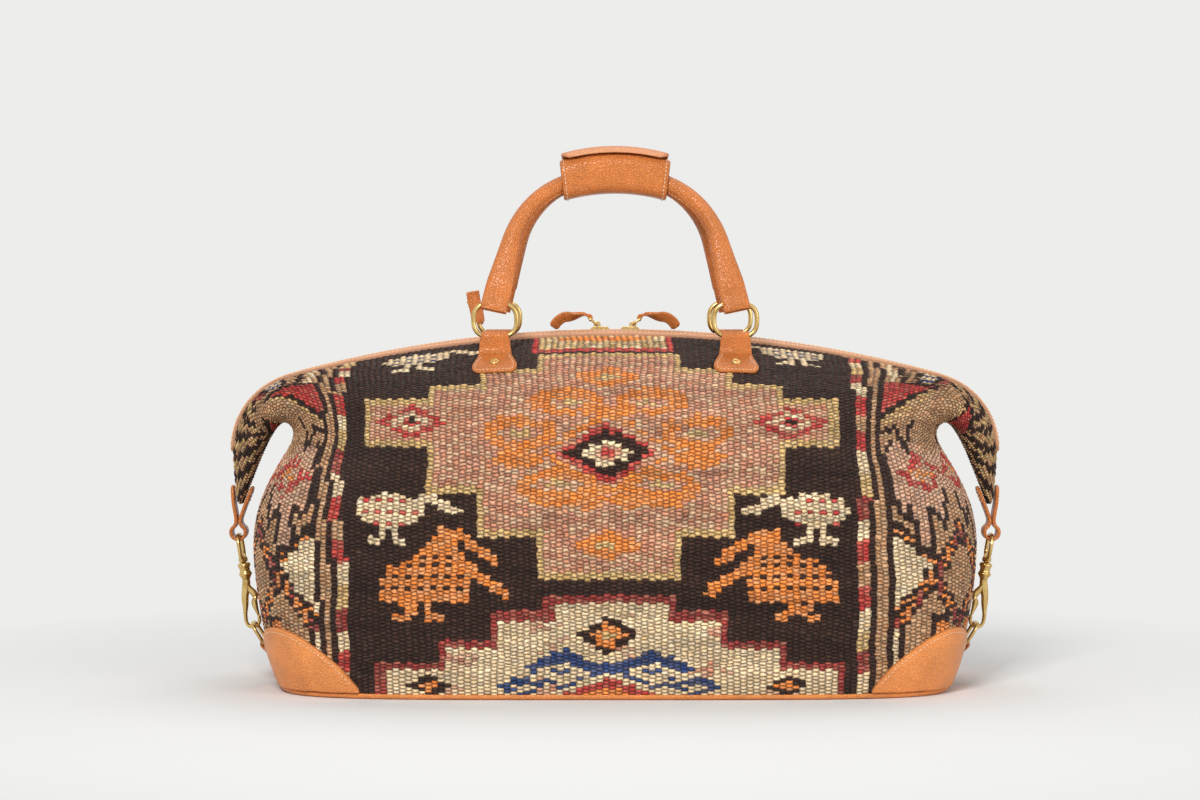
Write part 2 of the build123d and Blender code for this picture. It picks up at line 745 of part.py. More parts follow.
link_turn = math.radians(link_rise)
link_way = Vector(math.cos(link_turn), math.sin(link_turn))
link_near = slider_plane.from_local_coords(Vector(bridge_x, bridge_z))
link_far = slider_plane.from_local_coords(Vector(bridge_x, bridge_z) + link_way * link_length)
link_side = link_far - link_near
link_middle = (link_near + link_far) * 0.5
link_place = Plane(origin=link_middle, x_dir=link_side, z_dir=link_side.cross(Vector(0, 1, 0)))
link_path = (link_place * RectangleRounded(link_length, link_width, link_corner)).faces()[0].outer_wire()
link_start = Plane(origin=link_path @ 0, z_dir=link_path % 0)
keep_pair("pull_link", sweep(link_start * Circle(link_wire), path=link_path))

far = Vector(bridge_x, bridge_z) + link_way * link_length
pull_end = Vector(far.X + pull_run, pull_low)
pull_mid = (far + pull_end) * 0.5 + Vector(pull_run * 0.12, pull_bulge)
pull_face = trace(Edge.make_three_point_arc(far, pull_mid, pull_end), line_width=pull_leather)
pull_face += Pos(far.X, far.Y) * Circle(link_wire + link_fit + leather * 0.8)
pull = extrude(slider_plane * pull_face, amount=pull_half, both=True)
pull -= hole(link_far, (0, 1, 0), link_wire + link_fit, link_width)
keep_pair("pull_strap", pull)

for name, shape in parts.items():
    export_step(shape, "parts/" + name + ".step")
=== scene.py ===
import math

import bpy
import numpy as np
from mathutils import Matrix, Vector


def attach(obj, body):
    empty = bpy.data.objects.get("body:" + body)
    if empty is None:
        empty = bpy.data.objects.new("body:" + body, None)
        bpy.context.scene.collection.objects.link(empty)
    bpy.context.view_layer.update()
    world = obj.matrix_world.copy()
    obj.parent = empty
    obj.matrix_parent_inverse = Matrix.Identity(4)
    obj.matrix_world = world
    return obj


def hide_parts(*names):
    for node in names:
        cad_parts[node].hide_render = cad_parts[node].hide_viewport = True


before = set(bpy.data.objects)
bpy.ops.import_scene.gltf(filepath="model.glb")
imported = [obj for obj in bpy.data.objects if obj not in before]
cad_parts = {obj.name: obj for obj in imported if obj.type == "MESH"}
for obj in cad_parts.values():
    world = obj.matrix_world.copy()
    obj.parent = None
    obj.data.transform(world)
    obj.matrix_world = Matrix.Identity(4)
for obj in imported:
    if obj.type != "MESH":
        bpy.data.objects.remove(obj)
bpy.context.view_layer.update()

# The carpet's sizes in millimetres, the same as the CAD source's
HALF_LENGTH, HALF_DEPTH, BASE_HIGH = 265.0, 117.0, 4.0
ZIP_HEIGHT, ZIP_RADIUS, ZIP_GAP = 259.0, 880.0, 7.0
EAR_REACH, EAR_LEAN, FOLD_RADIUS = 281.0, 94.0, 56.0
ROOT_WIDE, TIP_WIDE, TIP_THICK, TIP_HEIGHT = 48.0, 13.0, 5.0, 132.0
APEX_INSET, APEX_HEIGHT = 24.0, 194.0
CLOTH_HALF, CLOTH_SOFT = 352.0, 9.0
# Shares of those sizes for each loop from the base up, and the squareness of the wall's loops
WALL_HEIGHT_SHARES = (0.085, 0.19, 0.31, 0.43, 0.537, 0.637, 0.71, 0.784)
END_HEIGHT_SHARES = (0.085, 0.19, 0.31, 0.43, 0.537, 0.637, 0.708, 0.749)
WALL_LENGTH_SHARES = (0.917, 0.947, 0.970, 0.990, 1.0, 0.979, 0.925, 0.879, 0.909)
WALL_DEPTH_SHARES = (0.906, 0.966, 0.991, 1.0, 1.0, 0.987, 0.966, 0.932, 0.872)
WALL_SQUARENESS = (4.5, 4.2, 4.0, 3.8, 3.4, 3.0, 2.6, 2.3, 2.2)
ROOF_DEPTH_SHARES = (0.769, 0.632, 0.4615, 0.282)
ROOF_HEIGHT_SHARES = (0.849, 0.9035, 0.948, 0.979, 0.998)
WALL_LOOPS, ROOF_LOOPS = len(WALL_SQUARENESS), len(ROOF_HEIGHT_SHARES)
WALL_STEPS, ROOF_STEPS, EAR_STEPS, TIP_STEPS = 120, 40, 24, 16


def vec(*values):
    return np.array(values, float)


ALONG, DEEP, UP = vec(1, 0, 0), vec(0, 1, 0), vec(0, 0, 1)


def turned(radius, degrees):
    # An upright arm leaned over towards the right end
    return vec(radius * math.sin(math.radians(degrees)), 0, radius * math.cos(math.radians(degrees)))


def unit(v):
    v = np.asarray(v, float)
    return v / np.maximum(np.linalg.norm(v, axis=-1, keepdims=True), 1e-9)


def run_of(path):
    # The distance along a path at each of its points
    return np.concatenate([[0], np.cumsum(np.linalg.norm(np.diff(path, axis=0), axis=1))])


# The outline of the zip: an arc over the roof, the ear's fold and the ear's straight way down
ROOF_CENTRE = vec(0, 0, ZIP_HEIGHT - ZIP_RADIUS)
FOLD_X = EAR_REACH - FOLD_RADIUS
FOLD_TURN = math.degrees(math.asin(FOLD_X / (ZIP_RADIUS - FOLD_RADIUS)))
FOLD_CENTRE = vec(FOLD_X, 0, ROOF_CENTRE[2] + math.sqrt((ZIP_RADIUS - FOLD_RADIUS) ** 2 - FOLD_X**2))
FOLD_RUN = FOLD_RADIUS * math.radians(EAR_LEAN - FOLD_TURN)
EAR_TOP = FOLD_CENTRE + turned(FOLD_RADIUS, EAR_LEAN)
EAR_WAY = turned(1, EAR_LEAN + 90)
EAR_STRAIGHT = (TIP_HEIGHT - EAR_TOP[2]) / EAR_WAY[2]
ROOT_X = FOLD_X + turned(FOLD_RADIUS, FOLD_TURN)[0]


def outer(share):
    run = share * (FOLD_RUN + EAR_STRAIGHT)
    if run < FOLD_RUN:
        return FOLD_CENTRE + turned(FOLD_RADIUS, FOLD_TURN + math.degrees(run / FOLD_RADIUS))
    return EAR_TOP + EAR_WAY * (run - FOLD_RUN)


INNER_TIP = outer(1) - vec(TIP_THICK, 0, 0)
APEX = vec(HALF_LENGTH - APEX_INSET, 0, APEX_HEIGHT)
BEND_SHARES, LEAD_SHARES = vec(0.33, 0, 0), vec(0.62, 0, 0.52)
BEND = APEX + (INNER_TIP - APEX) * BEND_SHARES
LEAD = APEX + (INNER_TIP - APEX) * LEAD_SHARES


def inner(share):
    rest = 1 - share
    return APEX * rest**3 + BEND * (3 * rest**2 * share) + LEAD * (3 * rest * share**2) + INNER_TIP * share**3


def ear_width(share):
    return TIP_WIDE + (ROOT_WIDE - TIP_WIDE) * (1 - share) ** 1.2


def ear_point(share, turn):
    top, low = outer(share), inner(share)
    middle = (top + low) / 2 + (top - low) * (0.5 * math.cos(turn))
    return middle - vec(0, ear_width(share) * math.sin(turn), 0)


def wall_loop(row):
    length, depth = HALF_LENGTH * WALL_LENGTH_SHARES[row], HALF_DEPTH * WALL_DEPTH_SHARES[row]
    power = 2 / WALL_SQUARENESS[row]
    low = ZIP_HEIGHT * WALL_HEIGHT_SHARES[row - 1] if row else BASE_HIGH
    end = ZIP_HEIGHT * END_HEIGHT_SHARES[row - 1] if row else BASE_HIGH
    turn = np.radians(90) * np.arange(WALL_STEPS + 1) / WALL_STEPS
    along = np.sin(turn) ** power
    deep = -depth * np.maximum(np.cos(turn), 0) ** power
    line = np.stack([length * along, deep, low + (end - low) * along**2], 1)
    line[-1] = (length, 0, end)
    return line


def roof_loop(row):
    reach = (row + 1) / ROOF_LOOPS
    last = row == ROOF_LOOPS - 1
    start = ZIP_GAP if last else HALF_DEPTH * ROOF_DEPTH_SHARES[row]
    side = ZIP_GAP if last else ear_width(reach) * 0.9
    drop = ZIP_HEIGHT * (1 - ROOF_HEIGHT_SHARES[row])
    root_drop = outer(0)[2] - ear_point(0, math.asin(side / ROOT_WIDE))[2]
    line = []
    for step in range(ROOF_STEPS):
        x, mix = ROOT_X * step / ROOF_STEPS, (step / ROOF_STEPS) ** 2.5
        ridge = ROOF_CENTRE[2] + math.sqrt(ZIP_RADIUS**2 - x * x)
        line.append(vec(x, -(start + (side - start) * mix), ridge - (drop + (root_drop - drop) * mix)))
    for step in range(EAR_STEPS):
        share = reach * step / EAR_STEPS
        line.append(ear_point(share, math.asin(side / ear_width(share))))
    first = math.asin(side / ear_width(reach))
    for step in range(TIP_STEPS + 1):
        line.append(ear_point(reach, first + (math.pi - first) * step / TIP_STEPS))
    line[-1][1] = 0
    return np.array(line)


LOOPS = [wall_loop(row) for row in range(WALL_LOOPS)] + [roof_loop(row) for row in range(ROOF_LOOPS)]
RUNS = [run_of(line) for line in LOOPS]
HEIGHTS = run_of(np.array([line[0] for line in LOOPS]))
CLOTH_HIGH = HEIGHTS[-1]


def on_loop(index, run):
    # A point on a loop, which is mirrored beyond its two ends
    total = RUNS[index][-1]
    back = np.abs(run)
    over = back > total
    back = np.where(over, 2 * total - back, back)
    point = np.stack([np.interp(back, RUNS[index], LOOPS[index][:, k]) for k in range(3)], -1)
    point[..., 0] *= np.where(run < 0, -1, 1)
    point[..., 1] *= np.where(over, -1, 1)
    return point


def soft_point(index, across):
    late = np.maximum(0, (across - 0.4) / 0.6) ** 2
    run = CLOTH_HALF * across + (RUNS[index][-1] - CLOTH_HALF) * late
    beside = on_loop(index, run - CLOTH_SOFT) + on_loop(index, run + CLOTH_SOFT)
    return on_loop(index, run) * 0.5 + beside * 0.25


def smooth_cloth(across, up):
    # The plain surface at shares across, -1 to 1, and up, 0 to 1: a cubic B-spline over the loops
    across, up = np.broadcast_arrays(np.asarray(across, float), np.asarray(up, float))
    rows = np.stack([soft_point(index, np.abs(across)) for index in range(len(LOOPS))], 0)
    rows = np.concatenate([rows[:1] * 2 - rows[1:2], rows, rows[-1:] * 2 - rows[-2:-1]], 0)
    run = np.clip(up, 0, 1) * CLOTH_HIGH
    row = np.clip(np.searchsorted(HEIGHTS, run, side="right") - 1, 0, len(LOOPS) - 2)
    s = (run - HEIGHTS[row]) / (HEIGHTS[row + 1] - HEIGHTS[row])
    inward = (-3 * s**3 + 3 * s**2 + 3 * s + 1) / 6
    point = 0
    for k, weight in enumerate(((1 - s) ** 3 / 6, (3 * s**3 - 6 * s**2 + 4) / 6, inward, s**3 / 6)):
        chosen = np.take_along_axis(rows, (row + k)[None, ..., None].repeat(3, -1), 0)[0]
        point = point + chosen * weight[..., None]
    point[..., 0] *= np.where(across < 0, -1, 1)
    return point


def cloth(across, up, lift=0.0):
    # A point on the carpet, lifted along the outward normal, and that normal
    across, up = np.broadcast_arrays(np.asarray(across, float), np.asarray(up, float))
    small = 0.003
    point = smooth_cloth(across, up)
    along = smooth_cloth(np.minimum(across + small, 1), up) - smooth_cloth(np.maximum(across - small, -1), up)
    rise = smooth_cloth(across, np.minimum(up + small, 1)) - smooth_cloth(across, np.maximum(up - small, 0))
    normal = np.cross(along, rise)
    normal[..., 1] *= np.where(np.abs(across) > 1 - small, 0, 1)
    normal[..., 2] *= np.where(up < small, 0, 1)
    normal = unit(normal)
    return point + normal * np.asarray(lift)[..., None], normal


# Mesh helpers; points are in millimetres


def piece(name, points, faces, material, body, replaces=(), turn=(1, 1), smooth=True, slot=None, values=None):
    points = np.asarray(points, float).reshape(-1, 3) * (turn[0], turn[1], 1) / 1000
    if turn[0] * turn[1] < 0:
        faces = [face[::-1] for face in faces]
    mesh = bpy.data.meshes.new(name)
    mesh.from_pydata(points.tolist(), [], faces)
    mesh.polygons.foreach_set("use_smooth", np.full(len(mesh.polygons), smooth))
    if values is not None:
        layer = mesh.attributes.new("edge", "FLOAT", "POINT")
        layer.data.foreach_set("value", np.asarray(values, np.float32).ravel())
    mesh.materials.append(material)
    mesh.update()
    item = bpy.data.objects.new(name, mesh)
    bpy.context.scene.collection.objects.link(item)
    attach(item, body)
    if replaces:
        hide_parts(*replaces)
    return item


def leather_piece(name, mesh, body, node, turn=(1, 1)):
    return piece(name, *mesh, LEATHER, body, (node,), turn, slot="leather")


def brass_piece(name, mesh, body, node, turn=(1, 1)):
    return piece(name, *mesh, BRASS, body, (node,), turn, slot="brass")


def thread_piece(name, mesh, body, turn=(1, 1)):
    return piece(name, *mesh, THREAD, body, turn=turn)


def grid_faces(rows, columns, wrap_rows=False, wrap_columns=False, start=0, flip=False):
    faces = []
    for i in range(rows if wrap_rows else rows - 1):
        near, far = start + i * columns, start + (i + 1) % rows * columns
        for j in range(columns if wrap_columns else columns - 1):
            k = (j + 1) % columns
            face = [near + j, near + k, far + k, far + j]
            faces.append(face[::-1] if flip else face)
    return faces


def rod_faces(rows, columns, flip=False, start=0, turn_ends=False):
    # A row of rings with a face over each end
    first = [start + k for k in range(columns)]
    last = [start + (rows - 1) * columns + k for k in range(columns)]
    ends = [first, last[::-1]] if turn_ends else [first[::-1], last]
    return grid_faces(rows, columns, False, True, start, flip) + ends


def slab_faces(rows, columns, flip=False):
    # Two grids, one over the other, with a wall round their rim
    under = rows * columns
    faces = grid_faces(rows, columns, flip=flip) + grid_faces(rows, columns, start=under, flip=not flip)
    rim = [k * columns for k in range(rows)] + [(rows - 1) * columns + k for k in range(1, columns)]
    rim += [k * columns + columns - 1 for k in range(rows - 2, -1, -1)] + list(range(columns - 2, 0, -1))
    walls = [[a, b, b + under, a + under] for a, b in zip(rim, rim[1:] + rim[:1])]
    return faces + [wall[::-1] if flip else wall for wall in walls]


def join(*meshes):
    points, faces, count = [], [], 0
    for some_points, some_faces in meshes:
        points.append(np.asarray(some_points, float).reshape(-1, 3))
        faces += [[index + count for index in face] for face in some_faces]
        count += len(points[-1])
    return np.concatenate(points), faces


def tangents(path, closed=False):
    path = np.asarray(path, float)
    if closed:
        return unit(np.roll(path, -1, 0) - np.roll(path, 1, 0))
    return unit(np.gradient(path, axis=0))


def round_angles(sides):
    return np.arange(sides) * 2 * np.pi / sides


def arc(centre, radius, first, last, count):
    # Points round a line from front to back, from one angle to another
    angles = np.radians(np.linspace(first, last, count))
    return [centre + vec(math.cos(a), 0, math.sin(a)) * radius for a in angles]


def oval(width, height, power, count):
    turn = round_angles(count)
    half_width, half_height = width / 2, height / 2
    c, s = np.cos(turn), np.sin(turn)
    across = half_width * np.sign(c) * np.abs(c) ** (2 / power)
    return np.stack([across, half_height * np.sign(s) * np.abs(s) ** (2 / power)], 1)


def resample(path, count):
    run = run_of(path)
    at = np.linspace(0, run[-1], count)
    return np.stack([np.interp(at, run, path[:, k]) for k in range(path.shape[1])], 1)


def spaced(path, step):
    return resample(path, max(2, int(round(run_of(path)[-1] / step)) + 1))


def smooth_path(points, count):
    # A smooth line through a few points, by a uniform Catmull-Rom spline
    points = np.asarray(points, float)
    points = np.concatenate([points[:1] * 2 - points[1:2], points, points[-1:] * 2 - points[-2:-1]])
    out = []
    for k in range(1, len(points) - 2):
        a, b, c, d = points[k - 1:k + 3]
        for t in np.arange(0, 1, 1 / 8):
            square = (2 * a - 5 * b + 4 * c - d) * t**2
            out.append(0.5 * (2 * b + (c - a) * t + square + (3 * b - a - 3 * c + d) * t**3))
    out.append(points[-2])
    return resample(np.array(out), count)


def tube(path, radius, sides=14, closed=True, up=DEEP):
    # A round wire along a path; the path never runs along up
    path = np.asarray(path, float)
    way = tangents(path, closed)
    first = unit(np.cross(way, np.asarray(up, float)))
    second = np.cross(way, first)
    angle = round_angles(sides)[None, :, None]
    ring = first[:, None] * np.cos(angle) + second[:, None] * np.sin(angle)
    points = (path[:, None] + ring * radius).reshape(-1, 3)
    if closed:
        return points, grid_faces(len(path), sides, True, True)
    return points, rod_faces(len(path), sides, turn_ends=True)


def strap(path, side, half, thick, edge=0.8):
    # A flat leather strip along a path, with rounded edges and ends
    path, side = np.asarray(path, float), np.broadcast_to(np.asarray(side, float), np.shape(path))
    half = np.broadcast_to(np.asarray(half, float), (len(path),))
    way = tangents(path)
    lift = unit(np.cross(way, side))
    edge = min(edge, thick * 0.48)
    outline = []
    for across, upward, start in ((1, 1, 0), (-1, 1, 90), (-1, -1, 180), (1, -1, 270)):
        for a in np.radians([0, 30, 60, 90]) + math.radians(start):
            outline.append((across, upward, math.cos(a), math.sin(a)))
    rows = []
    order = [(0, edge, -edge)] + [(k, 0, 0) for k in range(len(path))] + [(len(path) - 1, edge, edge)]
    for k, inset, push in order:
        for across, upward, c, s in outline:
            wide = across * (half[k] - edge - inset) + edge * c
            high = (upward * (thick / 2 - edge) + edge * s) * (0.55 if inset else 1)
            rows.append(path[k] + way[k] * push * 0.7 + side[k] * wide + lift[k] * high)
    return np.array(rows), rod_faces(len(order), len(outline), flip=True, turn_ends=True)


def stitches(path, normal, pitch=3.3, length=2.3, wide=0.42, high=0.42):
    # A row of sewn stitches along a path, each a small rounded thread of half width wide and half height high
    path, normal = np.asarray(path, float), np.broadcast_to(np.asarray(normal, float), np.shape(path))
    both = spaced(np.concatenate([path, normal], 1), pitch)
    spots, normals = both[:, :3], unit(both[:, 3:])
    way = tangents(spots)
    side = unit(np.cross(way, normals))
    ends = np.radians([-90, -55, -25, 0, 25, 55, 90])
    around = round_angles(6)
    points, faces = [], []
    for k in range(1, len(spots) - 1):
        faces += rod_faces(len(ends), len(around), start=len(points))
        for a in ends:
            c = max(math.cos(a), 0.02)
            centre = spots[k] + way[k] * (length / 2 * math.sin(a))
            for b in around:
                point = centre + side[k] * (wide * c * math.cos(b))
                points.append(point + normals[k] * (high * c * math.sin(b)))
    return np.array(points), faces


def lathe(profile, origin, axis, sides=28):
    # A turned solid: profile rows of radius and distance along the axis
    axis = unit(axis)
    first = unit(np.cross(axis, DEEP))
    second = np.cross(axis, first)
    angle = round_angles(sides)[:, None]
    ring = first * np.cos(angle) + second * np.sin(angle)
    points = np.concatenate([np.asarray(origin) + axis * along + ring * radius for radius, along in profile])
    return points, rod_faces(len(profile), sides, flip=True, turn_ends=True)


def barrel(profile, origin, sides=20):
    # The same about a line from front to back
    angle = round_angles(sides)
    ring = np.stack([np.cos(angle), 0 * angle, np.sin(angle)], 1)
    points = np.concatenate([np.asarray(origin) + DEEP * along + ring * radius for radius, along in profile])
    return points, rod_faces(len(profile), sides)


# Materials


def srgb(*values):
    out = [(v / 255 / 12.92 if v <= 10 else ((v / 255 + 0.055) / 1.055) ** 2.4) for v in values]
    return (*out, 1.0)


def dimmed(colour, share):
    return (*[min(1.0, c * share) for c in colour[:3]], 1.0)


class Tree:
    # The shader nodes of a material or of the world
    def __init__(self, owner, shader="Principled BSDF", **sockets):
        owner.use_nodes = True
        self.owner = owner
        self.tree = owner.node_tree
        self.shader = self.tree.nodes[shader]
        for key, value in sockets.items():
            self.shader.inputs[key.replace("_", " ")].default_value = value

    def node(self, kind, links=None, **settings):
        made = self.tree.nodes.new("ShaderNode" + kind)
        for key, value in settings.items():
            if hasattr(made, key):
                setattr(made, key, value)
            else:
                made.inputs[key.replace("_", " ")].default_value = value
        for key, source in (links or {}).items():
            self.tree.links.new(source, made.inputs[key])
        return made

    def put(self, made, index, value):
        # A socket is linked, a number or colour is set
        if hasattr(value, "is_linked"):
            self.tree.links.new(value, made.inputs[index])
        else:
            made.inputs[index].default_value = value

    def to(self, socket, source):
        self.tree.links.new(source, self.shader.inputs[socket])

    def place(self, scale=(1, 1, 1)):
        where = self.node("TexCoord").outputs["Object"]
        return self.node("Mapping", {"Vector": where}, Scale=scale).outputs["Vector"]

    def noise(self, where, output="Fac", **settings):
        return self.node("TexNoise", {"Vector": where}, **settings).outputs[output]

    def wave(self, direction, scale, distortion):
        settings = {"bands_direction": direction, "Scale": scale, "Distortion": distortion}
        return self.node("TexWave", {"Vector": self.place()}, **settings).outputs["Fac"]

    def attribute(self, name, output):
        return self.node("Attribute", attribute_name=name).outputs[output]

    def math(self, operation, *values):
        made = self.node("Math", operation=operation)
        for index, value in enumerate(values):
            self.put(made, index, value)
        return made.outputs[0]

    def spread(self, value, low, high, to_low, to_high):
        made = self.node("MapRange", {"Value": value})
        for key, number in (("From Min", low), ("From Max", high), ("To Min", to_low), ("To Max", to_high)):
            made.inputs[key].default_value = number
        return made.outputs["Result"]

    def mix(self, kind, factor, first, second):
        made = self.node("Mix", data_type="RGBA", blend_type=kind)
        for index, value in ((0, factor), (6, first), (7, second)):
            self.put(made, index, value)
        return made.outputs[2]

    def bump(self, height, strength, distance, before=None):
        links = {"Height": height}
        if before is not None:
            links["Normal"] = before
        return self.node("Bump", links, Strength=strength, Distance=distance).outputs["Normal"]

    def show(self, factor, shader, output):
        # Mixes another shader over the first one, at the output
        both = self.node("MixShader", {0: factor, 1: self.shader.outputs[0], 2: shader.outputs[0]})
        self.tree.links.new(both.outputs[0], self.tree.nodes[output].inputs["Surface"])

    def straight_rays(self):
        # What the camera sees, itself or mirrored in metal
        path = self.node("LightPath").outputs
        return self.math("MAXIMUM", path["Is Camera Ray"], path["Is Glossy Ray"])


def material_tree(name, **sockets):
    return Tree(bpy.data.materials.new(name), **sockets)


def carpet_material():
    t = material_tree("carpet_wool", Roughness=0.58, Sheen_Weight=0.05, Sheen_Roughness=0.5,
                      Specular_IOR_Level=0.2)
    where = t.place()
    weave = t.attribute("weave", "Vector")
    wobble = t.noise(where, "Color", Scale=520.0, Detail=1.0)
    column = t.math("FLOOR", t.node("SeparateXYZ", {0: weave}).outputs["X"])
    parts = t.node("SeparateXYZ", {0: t.mix("LINEAR_LIGHT", 0.11, weave, wobble)}).outputs
    # a bead for each knot, half a knot lower in odd columns
    halves = []
    lower = t.math("ADD", parts["Y"], t.math("MULTIPLY", column, 0.5))
    for source, power in ((parts["X"], 0.6), (lower, 0.85)):
        wave = t.math("SINE", t.math("MULTIPLY", source, math.pi))
        halves.append(t.math("POWER", t.math("ABSOLUTE", wave), power))
    bead = t.math("MULTIPLY", *halves)
    fibre = t.noise(t.place((1, 1, 0.4)), Scale=1300.0, Detail=4.0, Roughness=0.7)
    cloud = t.noise(where, Scale=30.0, Detail=5.0, Roughness=0.65)
    worn = t.math("MULTIPLY", t.spread(fibre, 0.25, 0.75, 0.8, 1.2), t.spread(cloud, 0.3, 0.7, 0.9, 1.1))
    # painted shade: each knot's colour is darker in the gaps round it and lighter on its raised middle, over
    # the fibre and cloud tone
    tone_and_painted_shade = t.math("MULTIPLY", worn, t.spread(bead, 0.0, 0.8, 0.36, 1.2))
    grey = t.node("CombineColor", {0: tone_and_painted_shade, 1: tone_and_painted_shade, 2: tone_and_painted_shade}).outputs[0]
    t.to("Base Color", t.mix("MULTIPLY", 1.0, t.attribute("knot", "Color"), grey))
    t.to("Normal", t.bump(bead, 0.95, 0.0022, t.bump(fibre, 0.4, 0.0004)))
    return t.owner


def leather_material(name, colour, grain=1.0, rough=0.34, edge_colour=None):
    t = material_tree(name, Specular_IOR_Level=0.5)
    where = t.place()
    warped = t.mix("LINEAR_LIGHT", 0.0016, where, t.noise(where, "Color", Scale=260.0, Detail=2.0))
    cells = t.node("TexVoronoi", {"Vector": warped}, feature="DISTANCE_TO_EDGE", Scale=500.0)
    pebble = t.spread(cells.outputs["Distance"], 0.0, 0.16, 0.0, 1.0)
    fine = t.noise(where, Scale=1800.0, Detail=3.0)
    cloud = t.noise(where, Scale=42.0, Detail=5.0, Roughness=0.6)
    tone = t.mix("MIX", t.spread(cloud, 0.32, 0.7, 0.0, 1.0), dimmed(colour, 0.84), dimmed(colour, 1.13))
    # painted shade: darker in the creases between the pebbles
    tone = t.mix("MIX", t.spread(pebble, 0.0, 1.0, 0.22, 0.0), tone, dimmed(colour, 0.55))
    worn = t.spread(t.attribute("edge", "Fac"), 0.3, 1.0, 0.0, 0.75)
    t.to("Base Color", t.mix("MIX", worn, tone, edge_colour or dimmed(colour, 0.5)))
    t.to("Roughness", t.spread(cloud, 0.3, 0.7, rough - 0.06, rough + 0.1))
    t.to("Normal", t.bump(pebble, 0.65 * grain, 0.0007, t.bump(fine, 0.12, 0.0003)))
    return t.owner


def brass_material():
    t = material_tree("brass", Metallic=1.0)
    cloud = t.noise(t.place(), Scale=170.0, Detail=5.0)
    lines = t.noise(t.place((1, 1, 14)), Scale=420.0, Detail=3.0)
    shine = t.spread(cloud, 0.3, 0.7, 0.0, 1.0)
    t.to("Base Color", t.mix("MIX", shine, srgb(196, 158, 92), srgb(226, 196, 132)))
    t.to("Roughness", t.spread(lines, 0.3, 0.7, 0.17, 0.33))
    t.to("Normal", t.bump(lines, 0.05, 0.0002))
    return t.owner


def two_tone(t, pattern, dark, light, strength, distance):
    # Two colours by a pattern that also stands out a little
    t.to("Base Color", t.mix("MIX", pattern, srgb(*dark), srgb(*light)))
    t.to("Normal", t.bump(pattern, strength, distance))
    return t.owner


def tape_material():
    t = material_tree("zip_tape_weave", Roughness=0.85, Sheen_Weight=0.2)
    weave = t.math("MULTIPLY", t.wave("Y", 330.0, 0.6), t.wave("X", 240.0, 0.6))
    return two_tone(t, weave, (92, 62, 42), (142, 102, 72), 0.5, 0.0004)


def thread_material():
    t = material_tree("waxed_thread", Roughness=0.6, Sheen_Weight=0.15)
    return two_tone(t, t.wave("DIAGONAL", 500.0, 1.0), (214, 164, 118), (242, 206, 168), 0.3, 0.0002)


def board_material():
    t = material_tree("grey_board", Roughness=0.9)
    pulp = t.noise(t.place(), Scale=220.0, Detail=6.0)
    return two_tone(t, pulp, (120, 104, 86), (164, 146, 122), 0.2, 0.0003)


TAN = srgb(204, 117, 52)
CARPET = carpet_material()
LEATHER = leather_material("pebbled_leather", TAN)
# painted light: a lighter copy of the tan leather, for the corner patches and the base, which face the lamps
# less
PATCH_LEATHER_PAINTED_LIGHT = leather_material("patch_leather", srgb(234, 145, 74))
TRIM = leather_material("trim_leather", srgb(212, 152, 112), 0.5, 0.5)
FLAP = leather_material("flap_leather", TAN, 0.6, 0.45, srgb(212, 152, 110))
BRASS = brass_material()
TAPE = tape_material()
THREAD = thread_material()
BOARD = board_material()

# The carpet's pattern: knots in columns and rows, drawn on a sheet WIDE by TALL
KNOT_COLUMNS, KNOT_ROWS = 152, 116
WIDE, TALL = 240, 94
DARK, ROSE, GOLD, CREAM, ORANGE, RED, BLUE, SAND, PALE, CLARET = range(10)
WOOL = np.array([srgb(*c)[:3] for c in (
    (58, 38, 30), (198, 134, 106), (204, 166, 108), (230, 202, 162), (232, 132, 58), (188, 60, 56),
    (42, 64, 112), (184, 137, 99), (200, 152, 124), (152, 56, 52))])
# How far a knot of each wool may turn pale towards cream: partly faded wool, partly painted highlight
FADE_AND_HIGHLIGHT_SHARES = (0, 0.62, 0.34, 0.3, 0.3, 0.18, 0.1, 0.34, 0.34, 0.18)
# The ground's two edges wander a little: their columns at these rows
EDGE_ROWS = (0, 10, 20, 30, 40, 50, 60, 70, 80, 94)
LEFT_EDGE = (57.5, 57.5, 57, 56, 54, 52, 52, 53.5, 55.5, 57)
RIGHT_EDGE = (177.5, 177, 177, 177, 177.5, 178, 178, 177.5, 177, 175.5)
STRIPE_WIDE, BORDER_HALF = 8.0, 25.0
MIDDLE = 118.3
KNOT_ASPECT = 1.15


def between(value, low, high):
    return (value > low) & (value < high)


